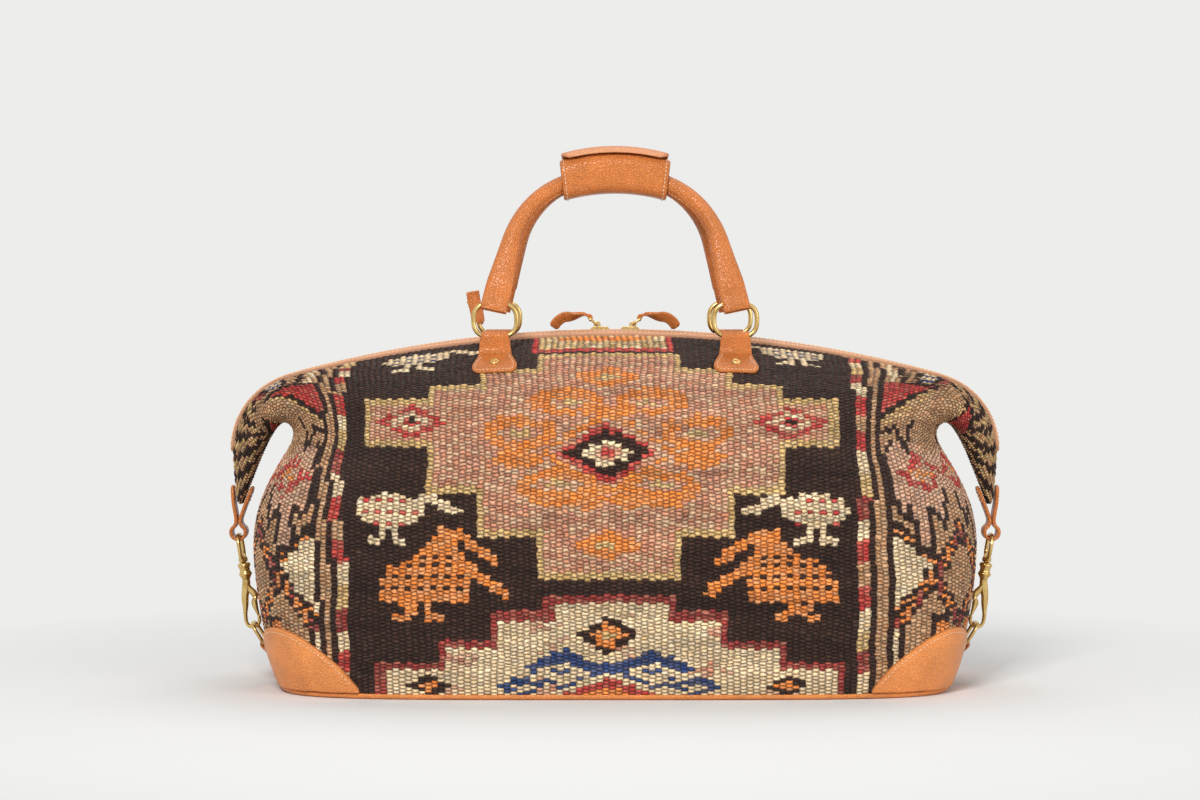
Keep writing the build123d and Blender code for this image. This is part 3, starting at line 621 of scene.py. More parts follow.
class Sheet:
    # One panel's knots; places and half sizes are in columns and rows of the drawing
    def __init__(self, seed):
        self.ran = np.random.default_rng(seed)
        self.heights = (np.arange(KNOT_ROWS) + 0.5) * TALL / KNOT_ROWS
        places = (np.arange(KNOT_COLUMNS) + 0.5) * WIDE / KNOT_COLUMNS
        self.up, self.across = np.meshgrid(self.heights, places, indexing="ij")
        self.row, self.column = np.meshgrid(np.arange(KNOT_ROWS), np.arange(KNOT_COLUMNS), indexing="ij")
        self.chequer = (self.row + self.column) % 2 == 0
        self.wool = np.full((KNOT_ROWS, KNOT_COLUMNS), SAND)
        self.edges = [np.interp(self.heights, EDGE_ROWS, edge)[:, None] for edge in (LEFT_EDGE, RIGHT_EDGE)]
        self.ground = (self.across > self.edges[0]) & (self.across < self.edges[1])

    def paint(self, mask, wool):
        self.wool[mask] = wool

    def chance(self, share):
        return self.ran.random(self.up.shape) < share

    def jitter(self, size):
        return self.ran.normal(0, size, self.up.shape)

    def block(self, left, right, low, high):
        return between(self.across, left, right) & between(self.up, low, high)

    def disc(self, across, up, wide, tall):
        return ((self.across - across) / wide) ** 2 + ((self.up - up) / tall) ** 2 < 1

    def diamond(self, across, up, wide, tall):
        return np.abs(self.across - across) / wide + np.abs(self.up - up) / tall < 1

    def nest(self, across, up, *layers):
        # Diamonds inside one another
        for wide, tall, wool in layers:
            self.paint(self.diamond(across, up, wide, tall), wool)

    def stroke(self, across, line, wide):
        # A drawn line of some half width; across are the columns from the line's own zero
        found = np.zeros(across.shape, bool)
        for (x0, y0), (x1, y1) in zip(line, line[1:]):
            dx, dy = x1 - x0, (y1 - y0) * KNOT_ASPECT
            x, y = across - x0, (self.up - y0) * KNOT_ASPECT
            t = np.clip((x * dx + y * dy) / (dx * dx + dy * dy + 1e-9), 0, 1)
            found |= np.hypot(x - t * dx, y - t * dy) < wide
        return found


def draw_border(sheet, side, edge, shift):
    # One end: out is the distance from the ground, deep is turned back half way to the end seam
    out = (sheet.across - edge) * side
    half = out > 0
    deep = out - STRIPE_WIDE
    deep = np.where(deep > BORDER_HALF, 2 * BORDER_HALF - deep, deep)
    up = sheet.up - shift

    def fill(mask, wool):
        sheet.paint(mask & half, wool)

    def line(points, wide):
        return sheet.stroke(deep, points, wide)

    def triangle(base, low, high, tip, middle):
        t = (deep - base) / (tip - base)
        return between(t, 0, 1) & (up > low + (middle - low) * t) & (up < high + (middle - high) * t)

    def gem(wide, tall):
        return np.abs(deep - 15) / wide + np.abs(up - 46) / tall < 1

    def panel(left, right, low, high):
        return between(deep, left, right) & between(up, low, high)

    # cream triangle with chequered edges
    fill(triangle(1.4, 14.6, 37.6, 20.5, 26.4), DARK)
    fill(triangle(1.4, 16.4, 36, 18.2, 26.4) & sheet.chequer, ORANGE)
    fill(triangle(2.2, 18, 34.4, 14.6, 26.4), CREAM)
    for points in (((2, 13.5), (26, 36)), ((13, 25.5), (26, 14))):
        fill(line(points, 1.9), DARK)
        fill(line(points, 1.2), ORANGE)
        fill(line(points, 1.2) & (np.floor(deep * 0.45) % 3 == 1), CLARET)
        fill(line(points, 1.9) & sheet.chequer & (sheet.row % 2 == 0), DARK)
    # pronged shape with a ragged red gem
    prongs = ((2.5, 43), (6, 37.5), (8.6, 40), (9.4, 30.6), (14.4, 30.6), (15, 39.5), (19.4, 35.8),
              (22.5, 43))
    fill(between(deep, 2, 22) & (up < 44) & (up > np.interp(deep, *zip(*prongs))), PALE)
    fill(panel(4, 25, 41.5, 53) & (up < 58 - 0.35 * deep), PALE)
    fill(line(prongs, 0.8), DARK)
    fill(gem(11, 4.4), RED)
    fill(gem(11, 4.4) & sheet.chance(0.22), PALE)
    fill(gem(6, 2.2), PALE)
    fill(gem(6, 2.2) & sheet.chance(0.3), ORANGE)
    # hooked lines and red triangle
    fill(line(((3.4, 43.5), (3.4, 51), (6, 53.5)), 0.8), DARK)
    fill(line(((3.4, 56.5), (8, 57.5), (12, 51.5), (15, 59)), 0.8), DARK)
    fill(triangle(1.4, 57.6, 72.6, 22, 68.5), DARK)
    fill(triangle(2.4, 61, 71, 18, 67.6), RED)
    fill(line(((2.4, 58.8), (18, 66.4)), 1.2) & sheet.chequer, GOLD)
    # low stripes and a small orange block
    fill(between(deep, 0, 5.6) & (up < 14), DARK)
    fill(between(deep, 1.4, 4.2) & (up < 13.4), CREAM)
    fill(panel(14, 21, 10.5, 16.5), DARK)
    fill(panel(15.2, 19.8, 10.5, 15), ORANGE)
    # the roof corners have upright stripes, the ears slanted tiger stripes
    roof = (sheet.up > 71.5) & (out > 7)
    lean_out = out + 0.05 * (sheet.up - 80) + sheet.jitter(0.2)
    fill(roof, SAND)
    for low, high, wool in ((11.5, 13.5, CREAM), (14.5, 16.4, DARK), (19, 20.8, DARK),
                            (20.8, 25, CREAM), (25, 26.5, DARK), (26.5, 28.5, CLARET)):
        fill(roof & between(lean_out, low, high), wool)
    fill(roof & between(lean_out, 20.8, 25) & (np.floor(sheet.up / 3) % 3 == 0), BLUE)
    jag = 0.8 * (np.floor(sheet.up / 2) % 2) + sheet.jitter(0.3)
    phase = (out + 0.42 * sheet.up + jag) % 5.6
    ear = roof & (lean_out > 28.5)
    fill(ear & (phase < 2.6), DARK)
    fill(ear & between(phase, 3.2, 4.6), GOLD)
    # guard stripes beside the ground, the second one in blocks
    for low, high, wool in ((0, 1.6, DARK), (1.6, 4.8, CREAM), (4.8, 6.4, DARK), (6.4, 8.8, SAND),
                            (8.8, 10.4, DARK)):
        fill((out > low - 0.001) & (out <= high), wool)
    blocks = np.array([RED, CREAM, CLARET, GOLD, CREAM, RED, SAND])[((sheet.up / 4.7 + side) % 7).astype(int)]
    spot = half & (out > 1.6) & (out <= 4.8)
    sheet.wool[spot] = blocks[spot]


def draw_fields(sheet):
    # The dark ground, the field beside the zip, the stepped field and the lower field
    sheet.paint(sheet.ground, DARK)
    top = sheet.block(101.5, 133, 81.8, TALL)
    sheet.paint(sheet.block(99, 135, 80.2, TALL), RED)
    sheet.paint(top, GOLD)
    sheet.paint(top & sheet.chance(0.3), CREAM)
    sheet.paint(sheet.disc(117, 88, 12, 2.2), ORANGE)
    steps = ((101, 136, 25, 79.2), (87, 149, 34, 73.6), (73.5, 161.5, 42.6, 69), (56.5, 175, 52.4, 65))
    lows = ((103, 134.5, -1, 21.6), (90, 147.5, -1, 18.3), (77, 161, -1, 12), (62, 175, -1, 7.6))
    for field, rim, rim_wide, rim_low, rim_high, wool in (
            (steps, GOLD, 2.2, 1.7, 1.7, ROSE), (lows, CLARET, 2.1, 0, 1.7, CREAM)):
        for left, right, low, high in field:
            sheet.paint(sheet.block(left, right, low, high) & sheet.ground, rim)
        for left, right, low, high in field:
            inside = sheet.block(left + rim_wide, right - rim_wide, low + rim_low, high - rim_high)
            sheet.paint(inside & sheet.ground, wool)
    across, up = sheet.across, sheet.up
    stain = sheet.block(70, 165, 0, 18) & (sheet.wool == CREAM)
    cloud = np.sin(across * 0.31 + 1.3) + np.sin(across * 0.13 + up * 0.5) + np.sin(up * 0.9 - across * 0.07)
    cloud = cloud + sheet.jitter(0.7)
    sheet.paint(stain & (cloud > 1.9), PALE)
    sheet.paint(stain & (cloud > 2.5), ROSE)


def draw_medallion(sheet):
    # Scrolls round a nest of diamonds, and the leaves under it
    scrolls = ((10.8, 63.6, 9.0, 3.5, 9.0, 63.0, 5.2, 1.3), (21.0, 56.4, 9.0, 4.0, 21.5, 56.0, 5.5, 1.6),
               (12.0, 44.4, 10.0, 4.0, 12.5, 45.0, 6.0, 1.5), (22.0, 50.6, 6.0, 2.0, 22, 50.6, 0.1, 0.1))
    for s in (-1, 1):
        for out, up, wide, tall, eye_out, eye_up, eye_wide, eye_tall in scrolls:
            eye = MIDDLE + s * eye_out
            sheet.paint(sheet.disc(MIDDLE + s * out, up, wide, tall), ORANGE)
            sheet.paint(sheet.disc(eye, eye_up, eye_wide, eye_tall), ROSE)
            sheet.paint(sheet.disc(eye, eye_up, eye_wide * 0.5, eye_tall * 0.55), GOLD)
        sheet.paint(sheet.disc(MIDDLE + s * 3.5, 61.5, 3.4, 1.6), ORANGE)
        sheet.paint(sheet.disc(MIDDLE + s * 5, 42, 4.5, 2.0), ORANGE)
        sheet.nest(MIDDLE + s * 16, 60, (3.2, 1.6, ROSE))
    for up in (70.4, 32.4):
        sheet.nest(MIDDLE, up, (8.4, 3.8, ORANGE), (3.2, 1.5, GOLD))
    heart = 51.8
    sheet.paint(sheet.diamond(MIDDLE, heart, 17.0, 9.2) & ~sheet.diamond(MIDDLE, heart, 14.6, 7.8), ORANGE)
    sheet.nest(MIDDLE, heart, (12.4, 6.6, RED), (11.0, 4.9, DARK), (6.4, 3.2, CREAM), (3.4, 1.8, ROSE),
               (1.9, 1.1, RED))
    sheet.nest(MIDDLE, 13.3, (7.2, 4.4, DARK), (5.0, 2.9, ORANGE), (2.2, 1.2, GOLD))
    for s in (-1, 1):
        leaf = MIDDLE + s * 11.0
        sheet.nest(MIDDLE + s * 10.6, 6.0, (10.4, 4.6, BLUE))
        sheet.nest(leaf, 4.9, (7.4, 2.5, CREAM))
        sheet.paint(sheet.block(leaf - 2.4, leaf + 2.4, 4.9, 6.0), BLUE)
        sheet.nest(MIDDLE + s * 21, 2.2, (6.4, 2.3, BLUE))
        sheet.nest(MIDDLE + s * 20.4, 1.8, (3.4, 1.0, CREAM))
        sheet.nest(MIDDLE + s * 43, 2.2, (5.5, 2.4, DARK), (3.2, 1.4, ORANGE))
    sheet.paint(sheet.block(MIDDLE - 1.6, MIDDLE + 1.6, 4.6, 7.6), BLUE)
    sheet.nest(MIDDLE, -0.4, (13.0, 4.4, RED))
    sheet.nest(MIDDLE, -0.6, (8.5, 2.8, ORANGE))
    for across, up in ((70, 58.9), (162.5, 58.6)):
        sheet.nest(across, up, (9.6, 4.2, RED), (6.8, 2.9, ROSE), (5.0, 2.2, CREAM), (3.0, 1.5, RED),
                   (1.3, 1.2, DARK))


def draw_birds(sheet):
    # Spotted birds that face the middle
    birds = ((65.5, 36, 1, RED), (168, 36, -1, RED), (70.5, 79, 1, BLUE), (164.5, 81, -1, BLUE))
    neck = ((5, 5.2), (10.5, 6.0), (14.5, 4.0), (16.5, 3.6))
    legs = (((-1.5, 0.3), (-2.2, -2.6), (-4.5, -2.9)), ((1.2, 0.2), (1.4, -2.4), (4.0, -2.8)))
    for across, up, way, dots in birds:
        x, y = (sheet.across - across) * way, sheet.up - up
        body = (x / 8.3) ** 2 + ((y - 3.4) / 3.5) ** 2 < 1
        body = body | (between(x, -8, -5) & (np.abs(y - 4) < 2.2))
        sheet.paint(body & sheet.ground, CREAM)
        sheet.paint(body & (sheet.column % 2 == 1) & (sheet.row % 3 == 0) & (np.abs(x) < 6.5), dots)
        for line, wide in ((neck, 1.05), (legs[0], 0.85), (legs[1], 0.85)):
            sheet.paint(sheet.stroke(x, [(px, up + py) for px, py in line], wide), CREAM)


def draw_animals(sheet):
    # Humped animals that face the middle
    humps = ((-12, -9.5, -2, 5, 8, 10.8, 11.2), (24, 27.5, 31.5, 35.6, 33, 29, 20))
    necks = (((4, 35), (9, 34.2), (16.8, 29.2)), ((8, 29.6), (13, 26.0), (19.5, 22.4)))
    legs = (((-4.5, 20), (-3.5, 17.4), (-6.5, 16.8)), ((0.5, 20), (0.8, 17.4), (3.8, 17.2)),
            ((-1.5, 20), (-1.5, 18.4)))
    for across, way in ((74, 1), (161.8, -1)):
        x, up = (sheet.across - across) * way, sheet.up
        body = between(x, -11.6, 10.8) & (up > 20) & (up < np.floor(np.interp(x, *humps)))
        even = body & (sheet.column % 2 == 0)
        sheet.paint(body, ORANGE)
        sheet.paint(even & (sheet.row % 3 == 1) & between(up, 21.5, 28.5), DARK)
        sheet.paint(even & (np.abs(up - 29.5) < 0.6), DARK)
        for lines, wide in ((necks, 1.25), (legs, 0.9)):
            for line in lines:
                sheet.paint(sheet.stroke(x, line, wide), ORANGE)


def knots(seed):
    # Which wool each knot has: a stepped field and medallion on a dark ground, between striped borders
    sheet = Sheet(seed)
    for side, edge, shift in ((-1, sheet.edges[0], 0), (1, sheet.edges[1], 0.8)):
        draw_border(sheet, side, edge, shift)
    draw_fields(sheet)
    draw_medallion(sheet)
    draw_birds(sheet)
    draw_animals(sheet)
    return sheet.wool


def knot_colours(wool, seed):
    # Hand-dyed wool: streaks along the rows, a different lot now and then, and pale knots that are partly
    # faded wool and partly painted highlight
    ran = np.random.default_rng(seed)
    size = rows, columns = KNOT_ROWS, KNOT_COLUMNS
    lot = np.sin(np.arange(rows) * 0.55 + 1.0)[:, None] * np.sin(np.arange(columns) * 0.045 + 0.6)[None, :]
    streak = ran.normal(0, 0.05, (rows, 1)) + ran.normal(0, 0.06, (rows, columns // 4)).repeat(4, 1)
    each = ran.normal(0, 0.11, size)
    value = np.clip(1 + 0.16 * lot + streak + each, 0.55, 1.5)[..., None]
    warm = ran.normal(0, 0.06, size)[..., None] * np.array([0.5, 0.0, -0.8])
    # pale knots towards cream: partly faded wool, partly painted highlight
    faded_and_highlight = (np.choose(wool, FADE_AND_HIGHLIGHT_SHARES) * ran.random(size) ** 2)[..., None]
    colour = WOOL[wool] * value * (1 + warm)
    return np.clip(colour * (1 - faded_and_highlight) + WOOL[CREAM] * faded_and_highlight, 0, 1)


# How far the knots stand out at their middles, seams and corners, in millimetres
KNOT_HIGH, KNOT_SEAM, KNOT_CORNER = 0.42, -0.3, -0.4


def carpet(name, node, turn, seed):
    # Every knot is a small cushion of two by two faces with a raised middle, half a knot lower in odd columns
    ran = np.random.default_rng(seed)
    columns, rows = 2 * KNOT_COLUMNS + 1, 2 * KNOT_ROWS + 1
    across = np.linspace(-1, 1, columns)[None, :].repeat(rows, 0)
    up = np.linspace(0, 1, rows)[:, None].repeat(columns, 1)
    inside = np.minimum(1, 12 * (1 - np.abs(across))) * np.minimum(1, 14 * up) * np.minimum(1, 14 * (1 - up))
    wave = np.sin(up * 31 + 2.1 * np.sin(across * 5)) + 0.6 * np.sin(up * 57 + across * 9)
    roll = np.sin(across * 37 + 1.7 * np.sin(up * 6)) + 0.6 * np.sin(across * 71 + up * 8)
    across = across + inside * (wave * 0.0016 + ran.normal(0, 0.0013, across.shape))
    up = up + inside * (roll * 0.0010 + ran.normal(0, 0.0011, up.shape))
    i, j = np.meshgrid(np.arange(rows) % 2, np.arange(columns) % 2, indexing="ij")
    odd = (np.arange(columns) // 2 % 2)[None, :]
    middle = (j == 1) & ((i + odd) % 2 == 1)
    relief = np.where(middle, KNOT_HIGH, np.where(j == 1, KNOT_SEAM, KNOT_CORNER))
    relief = relief * np.where(middle, ran.normal(1, 0.25, relief.shape), 1)
    point, normal = cloth(across, up)
    point = point + normal * relief[..., None]
    faces = grid_faces(rows, columns)
    item = piece(name, point, faces, CARPET, "bag", (node,), turn, slot="carpet")
    half_row = (np.arange(2 * KNOT_ROWS)[:, None] + np.arange(KNOT_COLUMNS)[None, :] % 2) // 2
    half_row = np.minimum(half_row, KNOT_ROWS - 1)[..., None]
    colour = np.take_along_axis(knot_colours(knots(seed), seed), half_row, 0).repeat(2, 1).reshape(-1, 3)
    corners = np.concatenate([colour, np.ones((len(colour), 1))], 1).repeat(4, 0).astype(np.float32)
    layer = item.data.color_attributes.new("knot", "FLOAT_COLOR", "CORNER")
    layer.data.foreach_set("color", corners.ravel())
    spot_up, spot_across = np.meshgrid(np.arange(rows) / 2, np.arange(columns) / 2, indexing="ij")
    layer = item.data.attributes.new("weave", "FLOAT_VECTOR", "POINT")
    layer.data.foreach_set("vector", np.stack([spot_across, spot_up, 0 * up], -1).astype(np.float32).ravel())


carpet("carpet_front", "front_panel", (1, 1), 11)
carpet("carpet_back", "back_panel", (1, -1), 23)

SIDES = (("front", 1), ("back", -1))
HANDS = (("right", 1), ("left", -1))

# Leather sewn flat on the carpet: corner patches and zip trims, with a gap under them
SEWN_GAP, STITCH_LIFT = 0.3, 0.05
PATCH_HIGH, PATCH_EDGE, PATCH_RISE, PATCH_LOW = 2.2, 1.3, 43.5, 2.5
PATCH_START_SHARE, PATCH_LONG_SHARE = 0.52, 0.42
TRIM_HIGH, TRIM_EDGE, TRIM_WIDE, TRIM_REACH_SHARE = 2.1, 1.2, 13.0, 0.86
PATCH_STITCH_IN = 3.4
TRIM_STITCH_SHARES = (("low", 0.2), ("high", 0.84))


def skin(name, place, counts, nears, high, edge, material, node, turn):
    # A sheet on the carpet with rolled edges; place turns grid shares into cloth shares
    def shares(count, near):
        ends = near * np.array([0, 0.12, 0.4, 0.7])
        return np.concatenate([ends, np.linspace(near, 1 - near, count), (1 - ends)[::-1]])

    grid = np.meshgrid(shares(counts[0], nears[0]), shares(counts[1], nears[1]), indexing="ij")
    base, normal = cloth(*place(*grid))

    def reach(axis):
        step = np.linalg.norm(np.diff(base, axis=axis), axis=-1)
        zero = np.zeros_like(np.take(step, [0], axis))
        run = np.concatenate([zero, np.cumsum(step, axis)], axis)
        return np.minimum(run, np.take(run, [-1], axis) - run)

    off = np.minimum(reach(0), reach(1))
    rise = np.sqrt(np.clip(1 - (1 - np.minimum(off / edge, 1)) ** 2, 0, 1))
    top = base + normal * (SEWN_GAP - 0.5 + (high - SEWN_GAP + 0.5) * rise)[..., None]
    under = base + normal * (SEWN_GAP - 0.9)
    points = np.concatenate([top.reshape(-1, 3), under.reshape(-1, 3)])
    value = np.concatenate([(1 - np.minimum(off / (edge * 1.1), 1)).ravel(), np.ones(off.size)])
    faces = slab_faces(*off.shape, flip=True)
    piece(name, points, faces, material, "bag", (node,), turn, slot="leather", values=value)


def patch_rise(c):
    return PATCH_LOW + PATCH_RISE * np.clip(np.sin(np.pi * c), 0, 1) ** 0.8


def patch_place(c, r):
    return PATCH_START_SHARE + PATCH_LONG_SHARE * c, r * patch_rise(c) / CLOTH_HIGH


def trim_place(c, r):
    return TRIM_REACH_SHARE * (2 * c - 1), 1 - (1 - r) * TRIM_WIDE / CLOTH_HIGH


for depth, sy in SIDES:
    for hand, sx in HANDS:
        node, turn = depth + "_corner_patch_" + hand, (sx, sy)
        # the patches use the lighter leather, with its painted light
        patch = (depth + "_patch_" + hand, patch_place, (44, 14), (0.02, 0.06), PATCH_HIGH, PATCH_EDGE, PATCH_LEATHER_PAINTED_LIGHT)
        skin(*patch, node, turn)
        c = np.linspace(0.035, 0.965, 160)
        below = np.maximum(0.05, 1 - PATCH_STITCH_IN / patch_rise(c))
        sewn = stitches(*cloth(*patch_place(c, below), PATCH_HIGH + STITCH_LIFT))
        thread_piece(depth + "_patch_stitches_" + hand, sewn, "bag", turn)
    trim = ("trim_" + depth, trim_place, (170, 6), (0.004, 0.16), TRIM_HIGH, TRIM_EDGE, TRIM)
    skin(*trim, "zip_trim_" + depth, (1, sy))
    for name, share in TRIM_STITCH_SHARES:
        sewn = stitches(*cloth(*trim_place(np.linspace(0.004, 0.996, 700), share), TRIM_HIGH + STITCH_LIFT))
        thread_piece("trim_stitches_" + name + "_" + depth, sewn, "bag", (1, sy))

# Base: a leather sheet that rolls up to meet the carpet, by rows of inset and height, then shares of the last
BASE_PROFILE = ((3.0, 4.0), (0.0, 4.0), (-0.5, 3.2), (-0.3, 2.0), (0.8, 0.9), (2.4, 0.25), (4.2, 0.0),
                (12.0, 0.0))
BASE_SHARES = (0.8, 0.55, 0.3, 0.1)
BASE_HOLLOW = 0.25


def base_ring(inset, height):
    edge, normal = cloth(np.linspace(0, 1, 49), np.zeros(49))
    quarter = (edge - normal * inset)[:, :2]
    right = np.concatenate([quarter, (quarter * (1, -1))[-2::-1]])
    flat = np.concatenate([right, (right * (-1, 1))[-2:0:-1]])
    return np.concatenate([flat, np.full((len(flat), 1), height)], 1)


rings = [base_ring(inset, height) for inset, height in BASE_PROFILE]
rings += [rings[-1] * (share, share, 1) + UP * (BASE_HOLLOW * (1 - share)) for share in BASE_SHARES]
faces = rod_faces(len(rings), len(rings[0]), flip=True)
# the base uses the lighter patch leather, with its painted light
piece("base_leather", np.concatenate(rings), faces, PATCH_LEATHER_PAINTED_LIGHT, "bag", ("base_panel",), slot="leather")
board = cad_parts["base_board"]
board.data.materials.clear()
board.data.materials.append(BOARD)

# Zip: woven tape and moulded brass teeth
TAPE_SINK, TAPE_STEP, TAPE_HALF, TAPE_THICK = 2.6, 2.5, 5.9, 0.9
TOOTH_SINK, TOOTH_STEP, ZIP_END = 1.2, 1.5, 6.0
# half of the tape's woven top, from its edge to the middle, and a tooth's outline
TAPE_TOP = ((5.9, 0), (5.5, 0.12), (4.2, 0.0), (3.4, 0.3), (2.6, 0.1))
TOOTH_OUTLINE = ((-0.45, -0.4), (0.45, -0.4), (0.62, 0.9), (0.45, 2.5), (-0.45, 2.5), (-0.62, 0.9))
TOOTH_LOW, TOOTH_HIGH, TOOTH_TAPER_SHARES = -1.0, 0.75, (0.72, 0.86)


def zip_line(sink, step):
    # Points and upward normals along the zip, from ear to ear
    right = []

    def turn(centre, radius, first, last, run):
        count = int(run / step)
        for angle in (first + (last - first) * k / count for k in range(count)):
            right.append((centre + turned(radius - sink, angle), turned(1, angle)))

    turn(ROOF_CENTRE, ZIP_RADIUS, 0, FOLD_TURN, math.radians(FOLD_TURN) * ZIP_RADIUS)
    turn(FOLD_CENTRE, FOLD_RADIUS, FOLD_TURN, EAR_LEAN, FOLD_RUN)
    low = EAR_STRAIGHT - ZIP_END
    count = int(low / step)
    for k in range(count + 1):
        right.append((EAR_TOP + EAR_WAY * (low * k / count) - turned(sink, EAR_LEAN), turned(1, EAR_LEAN)))
    flip = vec(-1, 1, 1)
    both = [(p * flip, n * flip) for p, n in right[:0:-1]] + right
    return np.array([p for p, n in both]), np.array([n for p, n in both])


def zip_tape():
    middle, lift = zip_line(TAPE_SINK, TAPE_STEP)
    section = [(-w, h) for w, h in TAPE_TOP] + [(0, 0.0)] + list(TAPE_TOP[::-1])
    section += [(w, -TAPE_THICK) for w in (TAPE_HALF, 0, -TAPE_HALF)]
    points = np.stack([middle + lift * h + DEEP * w for w, h in section], 1)
    piece("zip_weave", points, rod_faces(*points.shape[:2]), TAPE, "bag", ("zip_tape",), slot="tape")


def zip_teeth():
    spots, lift = zip_line(TOOTH_SINK, TOOTH_STEP)
    way = tangents(spots)
    wide, deep = TOOTH_TAPER_SHARES
    tooth = [(x, y, TOOTH_LOW) for x, y in TOOTH_OUTLINE]
    tooth += [(x * wide, y * deep, TOOTH_HIGH) for x, y in TOOTH_OUTLINE]
    points, faces = [], []
    for k in range(1, len(spots) - 1):
        side = 1 if k % 2 else -1
        faces += rod_faces(2, len(TOOTH_OUTLINE), start=len(points))
        for x, y, z in tooth:
            points.append(spots[k] + way[k] * x * side + DEEP * (side * y) + lift[k] * z)
    piece("zip_teeth", np.array(points), faces, BRASS, "bag", ("zip_chain",), smooth=False, slot="brass")


zip_tape()
zip_teeth()

# Rings and handles: two padded tubes that flatten into the folds round their rings
RING_WIDE, RING_TALL, RING_SQUARENESS, RING_WIRE, RING_STEPS = 31.0, 24.5, 2.7, 1.75, 72
RING_Y, RING_BAR = -50.0, 255.5
GRIP_RADIUS, GRIP_TURN = 118.0, math.radians(12.0)
BEND_RADIUS, LEG_TURN = 66.0, math.radians(77.0)
HANDLE_RADIUS, HANDLE_STEP, HANDLE_SIDES = 6.0, 3.0, 28
HANDLE_FOLD_HALF, HANDLE_FOLD_THICK, FOLD_PAST = 9.8, 3.4, 7.0
TAPER_START, TAPER_LONG, SEAM_START = 2.0, 72.0, 12.0
FAR_SAG, FAR_SAG_AT, FAR_SAG_LONG = 3.2, 66.0, 34.0
# pitch and length of the stitches on rolled and on thin leather
HANDLE_STITCH, THIN_STITCH = (3.1, 2.2), (2.9, 2.0)


def round_at(angle):
    return vec(math.sin(angle), math.cos(angle))


def eased(t):
    return t * t * (3 - 2 * t)


def rounded_end(left, radius):
    # How much narrower a strip gets towards a rounded end, by the length that is left
    inside = radius**2 - np.clip(radius - left, 0, radius) ** 2
    return radius - np.sqrt(np.clip(inside, 0, radius**2))


GRIP_TOP = vec(0, -9, 373)
HANDLE_RISE = GRIP_TOP - vec(0, RING_Y, RING_BAR + RING_TALL)
RISE_WAY = unit(HANDLE_RISE)
BEND_CENTRE = vec(0, -GRIP_RADIUS) + round_at(GRIP_TURN) * (GRIP_RADIUS - BEND_RADIUS)
LEG_WAY = vec(math.cos(LEG_TURN), -math.sin(LEG_TURN))
LEG_START = BEND_CENTRE + round_at(LEG_TURN) * BEND_RADIUS
LEG_LONG = (LEG_START[1] + np.linalg.norm(HANDLE_RISE)) / -LEG_WAY[1]
LEG_END = LEG_START + LEG_WAY * LEG_LONG
RING_X = LEG_END[0]


def handle_flat(step):
    # A handle's centre line in its own plane, from one foot over the top to the other
    line = []
    for k in range(int(GRIP_RADIUS * GRIP_TURN / step)):
        line.append(round_at(step * k / GRIP_RADIUS) * GRIP_RADIUS - vec(0, GRIP_RADIUS))
    for k in range(int(BEND_RADIUS * (LEG_TURN - GRIP_TURN) / step)):
        line.append(BEND_CENTRE + round_at(GRIP_TURN + step * k / BEND_RADIUS) * BEND_RADIUS)
    whole = LEG_LONG + FOLD_PAST
    for k in range(int(whole / (step / 2)) + 1):
        line.append(LEG_START + LEG_WAY * min(step / 2 * k, whole))
    line = np.array(line)
    return np.concatenate([line[:0:-1] * (-1, 1), line])


def handle(name, sy, node):
    flat = handle_flat(HANDLE_STEP)
    lean = np.cross(ALONG, RISE_WAY)
    line = flat @ np.array([ALONG, RISE_WAY]) + GRIP_TOP
    across = unit(np.cross(lean, tangents(line)))
    down = np.minimum(*[np.linalg.norm(flat - LEG_END * (s, 1), axis=1) for s in (1, -1)])
    above = np.where(np.abs(flat[:, 0]) > RING_X + 0.01, -down, down)
    if sy < 0:
        sag = FAR_SAG * np.exp(-(((above - FAR_SAG_AT) / FAR_SAG_LONG) ** 2))
        line = line - across * sag[:, None]
    t = eased(np.clip((above - TAPER_START) / TAPER_LONG, 0, 1))
    wide = HANDLE_FOLD_HALF + (HANDLE_RADIUS - HANDLE_FOLD_HALF) * t
    thick = HANDLE_FOLD_THICK + (HANDLE_RADIUS - HANDLE_FOLD_THICK) * np.minimum(1, 1.25 * t)
    power = (1 / (2 - t))[:, None]
    # the fold's low edge is rolled round the bar, and pinched and creased above it
    roll = np.clip((above + FOLD_PAST) / 4.0, 0.0, 1)
    thick = thick * np.sqrt(np.clip(1 - (1 - roll) ** 2, 0.12, 1))
    pinch = 0.5 * np.exp(-((above - 12) / 4.0) ** 2)
    angle = round_angles(HANDLE_SIDES)
    c, s = np.cos(angle), np.sin(angle)
    first = np.sign(c) * np.abs(c)[None, :] ** power * wide[:, None]
    first = first + 0.35 * np.exp(-((above[:, None] - 16) / 9) ** 2) * np.sin(angle * 6)[None, :]
    second = np.sign(s) * np.abs(s)[None, :] ** power * (thick - pinch)[:, None]
    points = line[:, None] + across[:, None] * first[..., None] + lean[None, None] * second[..., None]
    faces = rod_faces(len(line), HANDLE_SIDES, turn_ends=True)
    item = leather_piece(name, (points, faces), "handles", node, (1, sy))
    # the seam along the inside of the curve, with its stitches
    keep = above > SEAM_START
    sink = -across * (0.93 * wide[:, None]) - lean * (0.36 * thick[:, None])
    sewn = stitches((line + sink)[keep], unit(sink[keep]), *HANDLE_STITCH)
    thread_piece(name + "_stitches", sewn, "handles", (1, sy))
    ridge = tube(spaced((line - across * (0.995 * wide[:, None]))[keep], HANDLE_STEP), 0.55, 8, False, lean)
    piece(name + "_seam", *ridge, LEATHER, "handles", turn=(1, sy), slot="leather")


handle("handle_near", 1, "handle_front")
handle("handle_far", -1, "handle_back")

